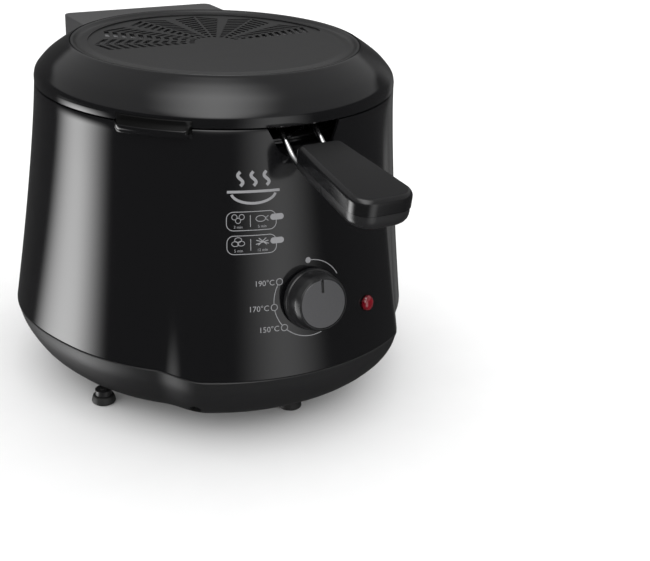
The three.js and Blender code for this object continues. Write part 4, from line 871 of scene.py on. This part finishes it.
pocket_corners += [(-pocket_r + 1.4, 2, 4.5), (-pocket_r + 8, -1.5, 4), (-12, -1.5, 6), (-9, -7, 6),
                   (9, -7, 6), (12, -1.5, 6), (pocket_r - 8, -1.5, 4), (pocket_r - 1.4, 2, 4.5)]
pocket = rounded_plate("fan_pocket", pocket_corners, 3, segments=5)
combine(lid_disc, placed(pocket, Matrix.Translation(spot(0, 0, DISC_TOP - POCKET_DEEP))))
slots = []
lean = math.tan(math.radians(28))
for sector in range(SECTORS):
    middle_turn = math.radians(180 / SECTORS * (sector + 0.5))
    spread = math.tan(math.radians(90 / SECTORS - SPOKE_HALF))
    for row in range(SLOT_ROWS):
        near = SLOT_FROM + row * SLOT_PITCH
        for half in (-1, 1):
            width = (near * spread - WEB_HALF) / (1 + lean * spread * 0.5)
            clear_selection()
            bpy.ops.mesh.primitive_cube_add(size=1, location=(0, 0, 0))
            slot_cutter = bpy.context.object
            for corner in slot_cutter.data.vertices:
                aside = WEB_HALF + (corner.co.y + 0.5) * width
                along = near + (corner.co.x + 0.5) * SLOT_WIDTH - (aside - WEB_HALF) * lean
                x, y = along, half * aside
                corner.co = spot(x * math.cos(middle_turn) - y * math.sin(middle_turn),
                                 x * math.sin(middle_turn) + y * math.cos(middle_turn),
                                 DISC_TOP + corner.co.z * 12)
            slots.append(slot_cutter)
slots = joined(slots)
settle(slots)
tidy_mesh(slots)
combine(lid_disc, slots)
dressed(lid_disc, satin_grey, "lid", ["lid_disc"], angle=32)

# ---- Under the lid: a perforated cover, a pressed liner and a soft seal round the edge ----
HOLE_R = 3.6
cover_low, cover_high = box_of("filter_cover")
filter_cover = turned("filter_plate", [(0, cover_low.z), (cover_high.x - 0.4, cover_low.z),
                                       (cover_high.x, cover_low.z + 0.4), (cover_high.x, cover_high.z),
                                       (0, cover_high.z)], sides=144)
holes = []
for ring_number in range(1, 5):
    count = 6 * ring_number
    for step in range(count):
        turn = 2 * math.pi * step / count
        hole = turned("hole", [(0, cover_low.z - 2), (HOLE_R, cover_low.z - 2), (HOLE_R, cover_high.z + 2),
                               (0, cover_high.z + 2)], sides=16)
        away = ring_number * 18
        holes.append(placed(hole, Matrix.Translation(
            (away * math.cos(turn) * MM, away * math.sin(turn) * MM, 0))))
combine(filter_cover, joined(holes))
dressed(filter_cover, plated_steel, "lid", ["filter_cover"])
liner_low, liner_high = box_of("lid_liner")
liner_r = liner_high.x
liner_profile = [(85.4, liner_high.z - 1.2), (96.4, liner_high.z - 1.2), (RIM_R - 18, LID_LOW + 15.2),
                 (liner_r - 0.3, liner_low.z + 0.1), (liner_r + 0.2, liner_low.z + 0.6), (RIM_R - 17.6, LID_LOW + 16.5),
                 (96.9, liner_high.z), (85.4, liner_high.z)]
lid_liner = turned("liner", liner_profile, sides=192, closed=True)
for side in (-1, 1):
    liner_hole = turned("liner_hole", [(0, liner_low.z), (1.85, liner_low.z), (1.85, liner_high.z + 1),
                                       (0, liner_high.z + 1)], sides=24)
    combine(lid_liner, placed(liner_hole, Matrix.Translation((side * (DISC_R - 3) * MM, 0, 0))))
dressed(lid_liner, mill_aluminium, "lid", ["lid_liner"])
seal_low, seal_high = box_of("lid_seal")
seal_r = seal_high.x
seal_profile = [(seal_r - 3, seal_low.z + 0.5), (seal_r - 2.4, seal_low.z), (seal_r - 1, seal_low.z),
                (seal_r - 0.4, seal_low.z + 0.5), (seal_r, seal_low.z + 1.8), (seal_r, seal_high.z),
                (seal_r - 3, seal_high.z)]
dressed(turned("seal", seal_profile, sides=192, closed=True), soft_rubber, "lid", ["lid_seal"])

# ---- Finger tab: a scooped lip moulded on the lid's edge, to raise it by ----
TAB_ANGLE = -44.4
TAB_HALF = 11.2
tab_low, tab_high = (corner.z for corner in box_of("lid_tab"))
tab_in = RIM_R + 0.45
tab_section = [(tab_in, tab_high), (tab_in + 0.7, tab_high - 0.5), (tab_in + 1.1, tab_high - 2.4),
               (tab_in + 1.7, tab_high - 4.4), (tab_in + 3.0, tab_high - 5.7), (tab_in + 4.3, tab_high - 5.6),
               (tab_in + 5.0, tab_high - 5.1), (tab_in + 5.3, tab_high - 5.6), (tab_in + 5.2, tab_high - 7.2),
               (tab_in + 4.2, tab_high - 9.0), (tab_in + 2.8, tab_low + 0.05), (tab_in + 1.9, tab_low + 0.4),
               (tab_in + 1.3, tab_high - 8.4), (tab_in + 1.0, tab_high - 6.0), (tab_in, tab_high - 4.3)]
clear_selection()
bpy.ops.mesh.primitive_circle_add(vertices=len(tab_section), radius=1, fill_type="NGON")
lid_tab = bpy.context.object
lid_tab.name = "finger_lip"
start_turn = math.radians(TAB_ANGLE - TAB_HALF)
for corner, (r, z) in zip(lid_tab.data.vertices, tab_section):
    corner.co = spot(r * math.sin(start_turn), -r * math.cos(start_turn), z)
bpy.ops.object.mode_set(mode="EDIT")
bpy.ops.mesh.select_all(action="SELECT")
bpy.ops.mesh.spin(steps=36, angle=-math.radians(2 * TAB_HALF), center=(0, AXIS_Y, 0), axis=(0, 0, 1))
bpy.ops.object.mode_set(mode="OBJECT")
tidy_mesh(lid_tab)


def lip_radius(angle, r, z):
    """Brings the lip's two ends in to the lid in a rounded way."""
    from_end = TAB_HALF - abs(angle - TAB_ANGLE)
    share = math.sqrt(max(0.0, 1 - (1 - min(1.0, from_end / 2.2)) ** 2))
    return tab_in + (r - tab_in) * (0.18 + 0.82 * share)


reshaped(lid_tab, lip_radius)
for corner in lid_tab.data.vertices:
    x, y = corner.co.x, corner.co.y - AXIS_Y
    from_end = TAB_HALF - abs(math.degrees(math.atan2(x, -y)) - TAB_ANGLE)
    reach = math.hypot(x, y) / MM - tab_in
    if from_end < 1.6 and tab_high - 6.6 < corner.co.z / MM < tab_high - 3:
        corner.co.z += (1.6 - from_end) / 1.6 * 2.2 * MM
# Painted shade: the scoop is the same polished moulding as the lip, but its inside gets a darker, less shiny black so
# the recess looks shaded.
scoop_painted_shade = surface("scoop_painted_shade", (0.002, 0.002, 0.002), (0.003, 0.003, 0.003), (0.3, 0.4),
                      1500, 0.004, shine=0.1)
lid_tab.data.materials.append(polished_black)
lid_tab.data.materials.append(scoop_painted_shade)
for face in lid_tab.data.polygons:
    reach = math.hypot(face.center.x, face.center.y - AXIS_Y) / MM - tab_in
    face.material_index = 1 if reach < 4.4 and tab_high - 6 < face.center.z / MM else 0
dressed(lid_tab, polished_black, "lid", ["lid_tab"], angle=40)

# ---- Hinge cover: the hollow block behind the lid, which turns with it on the hinge pin ----
COVER_CORNER = 6
COVER_WALL = 2.5
hinge_joint = next(joint for joint in frame["record"]["behaviour"]["joints"] if joint["name"] == "lid_hinge")
HINGE_Y = (hinge_joint["pos_m"][1] - AXIS_Y) / MM
HINGE_Z = hinge_joint["pos_m"][2] / MM
KNUCKLE_R = 5
FIXED_KNUCKLE = (14, 32)
cover_low, cover_high = box_of("hinge_cover")
block_low = LID_LOW + 1


def block(name, inset, low, top, corner, segments=8):
    half, rear = cover_high.x - inset, cover_high.y - inset
    piece = rounded_plate(name, [(-half, 80, 0), (half, 80, 0), (half, rear, corner), (-half, rear, corner)],
                          top - low, segments)
    return placed(piece, Matrix.Translation(spot(0, 0, low)))


hinge_cover = block("hinge_block", 0, block_low, cover_high.z, COVER_CORNER)
soften(hinge_cover, 0.9, segments=3, angle=50)
combine(hinge_cover, block("hinge_room", COVER_WALL, block_low - 2, cover_high.z - COVER_WALL,
                           COVER_CORNER - 1))


def across_bar(name, radius, x0, x1):
    """A round bar along the hinge line."""
    piece = turned(name, [(0, x0), (radius, x0), (radius, x1), (0, x1)], sides=48, middle_y=0)
    return placed(piece, Matrix.Translation(spot(0, HINGE_Y, HINGE_Z)) @ Matrix.Rotation(math.pi / 2, 4, "Y"))


def brick(name, low, high):
    clear_selection()
    bpy.ops.mesh.primitive_cube_add(size=1)
    piece = bpy.context.object
    piece.name = name
    size = [(b - a) * MM for a, b in zip(low, high)]
    middle = spot(*[(a + b) / 2 for a, b in zip(low, high)])
    return placed(piece, Matrix.Translation(middle) @ Matrix.Diagonal((*size, 1)))


moving_knuckles = [(-FIXED_KNUCKLE[0] + 0.6, FIXED_KNUCKLE[0] - 0.6),
                   (FIXED_KNUCKLE[1] + 0.6, FIXED_KNUCKLE[1] + 13),
                   (-FIXED_KNUCKLE[1] - 13, -FIXED_KNUCKLE[1] - 0.6)]
for x0, x1 in moving_knuckles:
    web = brick("knuckle_web", (x0, HINGE_Y - 3, HINGE_Z), (x1, cover_high.y - 1, cover_high.z - 1))
    combine(hinge_cover, web, "UNION")
    combine(hinge_cover, across_bar("knuckle", KNUCKLE_R, x0, x1), "UNION")
for side in (-1, 1):
    x0, x1 = sorted((side * FIXED_KNUCKLE[0], side * FIXED_KNUCKLE[1]))
    combine(hinge_cover, brick("knuckle_room", (x0 - 0.6, HINGE_Y - 8, block_low - 3),
                               (x1 + 0.6, cover_high.y + 3, HINGE_Z + KNUCKLE_R + 1.2)))
combine(hinge_cover, across_bar("pin_hole", 2.25, -60, 60))
under_lid = turned("under_lid", [(0, LID_LOW - 20), (RIM_R + 0.35, LID_LOW - 20), (RIM_R + 0.35, LID_LOW),
                                 *[(r + 0.35, z + 0.35) for r, z in shoulder], (0, DISC_TOP + 1.3)])
combine(hinge_cover, under_lid)
block_grey = surface("block_grey", (0.045, 0.045, 0.046), (0.058, 0.058, 0.059), (0.42, 0.52), 2200, 0.025)
dressed(hinge_cover, block_grey, "lid", ["hinge_cover"], angle=30)

# ---- Cable inlet: a rubber bush in the rear housing ----
inlet_low, inlet_high = box_of("cable_inlet")
inlet_r = inlet_high.x
inlet_long = inlet_high.y - inlet_low.y
bush = turned("inlet_bush", [(3.6, 0), (4.9, 0), (4.9, 7.2), (inlet_r, 7.2), (inlet_r, inlet_long - 1),
                             (inlet_r - 1, inlet_long), (4.4, inlet_long), (3.6, inlet_long - 0.8)],
              sides=64, closed=True, middle_y=0)
placed(bush, Matrix.Translation(spot(0, inlet_low.y, (inlet_low.z + inlet_high.z) / 2))
       @ Matrix.Rotation(-math.pi / 2, 4, "X"))
dressed(bush, soft_rubber, "root", ["cable_inlet"])

# ---- Basket: knitted wire mesh on a rolled rim, with support wires, brackets and handle rods ----
# Each row of the mesh is a wavy wire linked into the next. The front wall is flattened for the rods.
WIRE_R = 0.42
MESH_PITCH = 6.6
ROW_STEP = 5.0
LINK = 0.55  # how far the rows reach into each other
FLAT_Y = 71
SUPPORT_X = 20
SUPPORT_R = 1.5
BRACKET_R = 1.2
ROD_X = 12
ROD_R = 1.9
RIM_WIRE_R = 2
wire_metal = surface("plated_wire", (0.55, 0.55, 0.56), (0.68, 0.68, 0.69), (0.12, 0.22),
                     1500, 0.003, metallic=1.0)
rim_low, rim_high = box_of("basket_rim")
RIM_Z = (rim_low.z + rim_high.z) / 2
RIM_RING_R = rim_high.x - RIM_WIRE_R
FLOOR_Z = box_of("basket_mesh")[0].z
cup_outside = [(58, FLOOR_Z), (68, FLOOR_Z + 3.5), (73.5, FLOOR_Z + 11), (76, FLOOR_Z + 27), (78, FLOOR_Z + 52),
               (78.6, RIM_Z - 2)]


def wire(name, points, radius, sides=12, closed=False, straight_lines=False):
    """A round wire through points given in millimetres from the bowl's axis."""
    clear_selection()
    bpy.ops.curve.primitive_bezier_curve_add(location=(0, 0, 0))
    path = bpy.context.object
    path.name = name
    data = path.data
    data.splines.clear()
    if straight_lines:
        spline = data.splines.new("POLY")
        spline.points.add(len(points) - 1)
        for corner, point in zip(spline.points, points):
            corner.co = (*spot(*point), 1)
    else:
        spline = data.splines.new("BEZIER")
        spline.bezier_points.add(len(points) - 1)
        for corner, point in zip(spline.bezier_points, points):
            corner.co = spot(*point)
            corner.handle_left_type = corner.handle_right_type = "AUTO"
        spline.resolution_u = 10
    spline.use_cyclic_u = closed
    data.bevel_depth = radius * MM
    data.bevel_resolution = (sides - 4) // 2
    data.use_fill_caps = not closed
    bpy.ops.object.convert(target="MESH")
    piece = bpy.context.object
    settle(piece)
    tidy_mesh(piece, gap=0.001)
    return piece


def mirrored(half, *middle):
    """The points of a wire whose left side mirrors its right."""
    return [(-x, y, z) for x, y, z in reversed(half)] + [*middle, *half]


def cup_spot(angle, r, z):
    """A point on the basket's wall, which is flat at the front."""
    front = math.cos(math.radians(angle))
    if front > 0.8:
        r = min(r, FLAT_Y / front)
    return r * math.sin(math.radians(angle)), -r * front, z


wall_curve = curve_through(cup_outside, 12)
wall_length = [0.0]
for before, after in zip(wall_curve, wall_curve[1:]):
    wall_length.append(wall_length[-1] + (Vector(after) - Vector(before)).length)


def wall_spot(length):
    """Radius and height at a length along the wall's curve, up from the floor's edge."""
    length = min(max(length, 0), wall_length[-1])
    for number in range(1, len(wall_curve)):
        if wall_length[number] >= length:
            part = (length - wall_length[number - 1]) / (wall_length[number] - wall_length[number - 1])
            return Vector(wall_curve[number - 1]).lerp(Vector(wall_curve[number]), part)
    return Vector(wall_curve[-1])


mesh_rows = []
waves = round(2 * math.pi * 77 / MESH_PITCH)
rows = int(wall_length[-1] / ROW_STEP)
WAVE_STEPS = 8
for row in range(rows + 1):
    middle_length = wall_length[-1] - 0.6 - (row + 0.5) * (wall_length[-1] - 1) / (rows + 1)
    points = []
    for step in range(waves * WAVE_STEPS):
        phase = 2 * math.pi * step / WAVE_STEPS + math.pi * row
        swing = max(-1.0, min(1.0, 1.35 * math.sin(phase)))
        r, z = wall_spot(middle_length + swing * (ROW_STEP / 2 + LINK))
        points.append(cup_spot(360 * step / (waves * WAVE_STEPS),
                               r - 0.75 + 0.45 * math.cos(phase) + 0.3 * swing, z))
    mesh_rows.append(wire("mesh_row", points, WIRE_R, sides=4, closed=True, straight_lines=True))
floor_reach = wall_spot(1.5).x
for row in range(-int(floor_reach / ROW_STEP), int(floor_reach / ROW_STEP) + 1):
    y = row * ROW_STEP
    half = math.sqrt(max(0.0, floor_reach**2 - y**2))
    count = int(2 * half / MESH_PITCH * WAVE_STEPS)
    points = []
    for step in range(count + 1):
        x = -half + 2 * half * step / max(1, count)
        phase = 2 * math.pi * x / MESH_PITCH + math.pi * row
        swing = max(-1.0, min(1.0, 1.35 * math.sin(phase)))
        points.append((x, y + swing * (ROW_STEP / 2 + LINK), FLOOR_Z + 0.75 + 0.4 * math.cos(phase)))
    if count > WAVE_STEPS:
        mesh_rows.append(wire("floor_row", points, WIRE_R, sides=4, straight_lines=True))
mesh_cup = joined(mesh_rows)
mesh_cup.name = "knitted_cup"
dressed(mesh_cup, wire_metal, "basket", ["basket_mesh"], angle=60)

clear_selection()
bpy.ops.mesh.primitive_torus_add(major_radius=RIM_RING_R * MM, minor_radius=RIM_WIRE_R * MM,
                                 major_segments=160, minor_segments=20, location=spot(0, 0, RIM_Z))
rim_ring = bpy.context.object
rim_ring.name = "rolled_rim"
settle(rim_ring)
dressed(rim_ring, wire_metal, "basket", ["basket_rim"], angle=60)

flat_out = -(FLAT_Y + SUPPORT_R + 0.8)
floor_under = FLOOR_Z - SUPPORT_R - 0.5
for name, side in (("left", -1), ("right", 1)):
    x = side * SUPPORT_X
    support = wire("support_" + name, [
        (x, -(FLAT_Y + 5.4), RIM_Z - RIM_WIRE_R - 1.4), (x, flat_out - 0.4, RIM_Z - 30),
        (x, flat_out, FLOOR_Z + 40), (x, flat_out, FLOOR_Z + 8),
        (x, flat_out + 1.6, FLOOR_Z - 2), (x, flat_out + 5.5, floor_under - 3.1),
        (x, flat_out + 13, floor_under - 2), (x, flat_out + 32, floor_under)], SUPPORT_R)
    dressed(support, wire_metal, "basket", ["support_wire_" + name], angle=60)

drain_z = FLOOR_Z + 44
drain_y = flat_out - SUPPORT_R - BRACKET_R - 0.7
drain_half = [(SUPPORT_X - 7, drain_y - 9, drain_z - 12.5), (SUPPORT_X - 2.5, drain_y - 5, drain_z - 8),
              (SUPPORT_X, drain_y, drain_z)]
drain = wire("drain_hook", mirrored(drain_half, (0, drain_y - 10, drain_z - 13)), BRACKET_R)
dressed(drain, wire_metal, "basket", ["drain_bracket"], angle=60)

rod_y = -(FLAT_Y + ROD_R + 0.8)
stub_y = flat_out - SUPPORT_R - ROD_R - 0.8
loop_y = rod_y + ROD_R + BRACKET_R + 0.8
loop_z = RIM_Z - 0.6
loop_half = [(6, loop_y, loop_z + 4), (SUPPORT_X - 5, loop_y, loop_z + 0.6),
             (SUPPORT_X - 1, loop_y - 1.4, loop_z), (SUPPORT_X + 4, loop_y - 3, loop_z)]
rod_loop = wire("rod_loop", mirrored(loop_half), BRACKET_R)
dressed(rod_loop, wire_metal, "basket", ["rod_bracket"], angle=60)

# ---- Handle: two steel rods clamped between a polished cover and a satin grip, held by one screw ----
HANDLE_REAR_Y = -134
HANDLE_REAR_Z = 199
HANDLE_TILT = math.radians(7.3)
HANDLE_LONG = 79
REAR_HALF = 15.5
FRONT_HALF = 21
REAR_CORNER = 5
FRONT_CORNER = 13
COVER_HIGH = 9.6
GRIP_HIGH = 9.4
handle_frame = (Matrix.Translation(spot(0, HANDLE_REAR_Y, HANDLE_REAR_Z))
                @ Matrix.Rotation(HANDLE_TILT, 4, "X"))


def on_handle(back, drop):
    """(y, z) of a point on the handle's middle line, behind its rear edge and below its top face."""
    return (HANDLE_REAR_Y - back * math.cos(HANDLE_TILT) + drop * math.sin(HANDLE_TILT),
            HANDLE_REAR_Z - back * math.sin(HANDLE_TILT) - drop * math.cos(HANDLE_TILT))


rod_drop = COVER_HIGH + 3.4
APEX_Y, APEX_Z = -92, 216.6
for name, side in (("left", -1), ("right", 1)):
    x = side * ROD_X
    rod = wire("rod_" + name, [
        (x, *on_handle(40, rod_drop)), (x, *on_handle(18, rod_drop)), (x, *on_handle(-3, rod_drop)),
        (x, HANDLE_REAR_Y + 18, HANDLE_REAR_Z - 3.5), (x, APEX_Y - 10, APEX_Z - 9.5),
        (x, APEX_Y - 1.6, APEX_Z - 0.8), (x, APEX_Y + 1.6, APEX_Z - 1.2),
        (x, rod_y - 3, RIM_Z + 18), (x, rod_y, RIM_Z + 3), (x, rod_y, RIM_Z - 8),
        (x, rod_y, RIM_Z - 30), (x, rod_y - 0.4, RIM_Z - 50),
        (side * (ROD_X + 1.5), (rod_y + stub_y) / 2, RIM_Z - 56),
        (side * (ROD_X + 5), stub_y, RIM_Z - 58), (side * (ROD_X + 11), stub_y, RIM_Z - 58)], ROD_R, sides=16)
    dressed(rod, wire_metal, "basket", ["handle_rod_" + name], angle=60)


def edit_faces(piece, wanted):
    """Opens the piece for editing with only the wanted faces selected."""
    picked(piece)
    bpy.ops.object.mode_set(mode="EDIT")
    bpy.ops.mesh.select_mode(type="FACE")
    bpy.ops.mesh.select_all(action="DESELECT")
    bpy.ops.object.mode_set(mode="OBJECT")
    for face in piece.data.polygons:
        face.select = wanted(face)
    bpy.ops.object.mode_set(mode="EDIT")


def handle_corners(inset):
    """The handle's outline from above, wider at the front."""
    return [(-REAR_HALF + inset, -inset, REAR_CORNER), (REAR_HALF - inset, -inset, REAR_CORNER),
            (FRONT_HALF - inset, -HANDLE_LONG + inset, FRONT_CORNER),
            (-FRONT_HALF + inset, -HANDLE_LONG + inset, FRONT_CORNER)]


EDGE = 3.6
cover_gloss = surface("handle_gloss", (0.004, 0.004, 0.0045), (0.007, 0.007, 0.0075), (0.17, 0.22),
                      1200, 0.002)
cover_satin = surface("handle_satin", (0.005, 0.005, 0.0055), (0.0075, 0.0075, 0.008), (0.34, 0.42),
                      2400, 0.012, shine=0.2)
handle_cover = rounded_plate("handle_top", handle_corners(0), COVER_HIGH, segments=14)
edit_faces(handle_cover, lambda face: face.normal.z > 0.9)
bpy.ops.mesh.bevel(offset=EDGE * MM, segments=8, profile=0.5, affect="EDGES")
bpy.ops.object.mode_set(mode="OBJECT")
handle_cover.data.materials.append(cover_gloss)
handle_cover.data.materials.append(cover_satin)
for face in handle_cover.data.polygons:
    face.material_index = 1 if face.normal.z > 0.995 and face.center.z > (COVER_HIGH - 0.05) * MM else 0
placed(handle_cover, handle_frame @ Matrix.Translation((0, 0, -COVER_HIGH * MM)))
dressed(handle_cover, cover_gloss, "basket", ["handle_cover"], angle=40)

grip_black = surface("grip_black", (0.011, 0.011, 0.0115), (0.016, 0.016, 0.017), (0.24, 0.34), 2000, 0.01)
grip = rounded_plate("handle_grip_shell", handle_corners(0.3), 0.01, segments=14)
edit_faces(grip, lambda face: face.normal.z < -0.9)
scale_now, drop_now = 1.0, 0.0
GRIP_CURVE = ((1.0, 0.3), (0.995, 0.48), (0.97, 0.64), (0.92, 0.78), (0.84, 0.89), (0.72, 0.96), (0.56, 1.0))
for narrowing, drop in GRIP_CURVE:
    bpy.ops.mesh.extrude_region_move(
        TRANSFORM_OT_translate={"value": (0, 0, -(drop - drop_now) * GRIP_HIGH * MM)})
    bpy.ops.transform.resize(value=(narrowing / scale_now, 1 - (scale_now - narrowing) * 0.3, 1),
                             center_override=(0, -HANDLE_LONG * 0.5 * MM, 0))
    scale_now, drop_now = narrowing, drop
bpy.ops.object.mode_set(mode="OBJECT")
for corner in grip.data.vertices:
    back = min(1.0, max(0.0, -corner.co.y / MM / (HANDLE_LONG * 0.6)))
    corner.co.z *= 0.7 + 0.3 * smooth_step(back)
tidy_mesh(grip)
placed(grip, handle_frame @ Matrix.Translation((0, 0, -(COVER_HIGH + 0.35) * MM)))
for side in (-1, 1):
    x = side * ROD_X
    groove = wire("rod_groove", [(x, *on_handle(41, rod_drop)), (x, *on_handle(18, rod_drop)),
                                 (x, *on_handle(-6, rod_drop))], ROD_R + 0.35, sides=16)
    combine(grip, groove)
screw_well = turned("screw_well", [(0, -4), (3.35, -4), (3.35, 2.6), (0, 2.6)], sides=32, middle_y=0)
combine(grip, placed(screw_well, handle_frame @ Matrix.Translation(
    (0, -HANDLE_LONG * 0.68 * MM, -(COVER_HIGH + 0.35 + GRIP_HIGH) * MM))))
dressed(grip, grip_black, "basket", ["handle_grip"], angle=40)
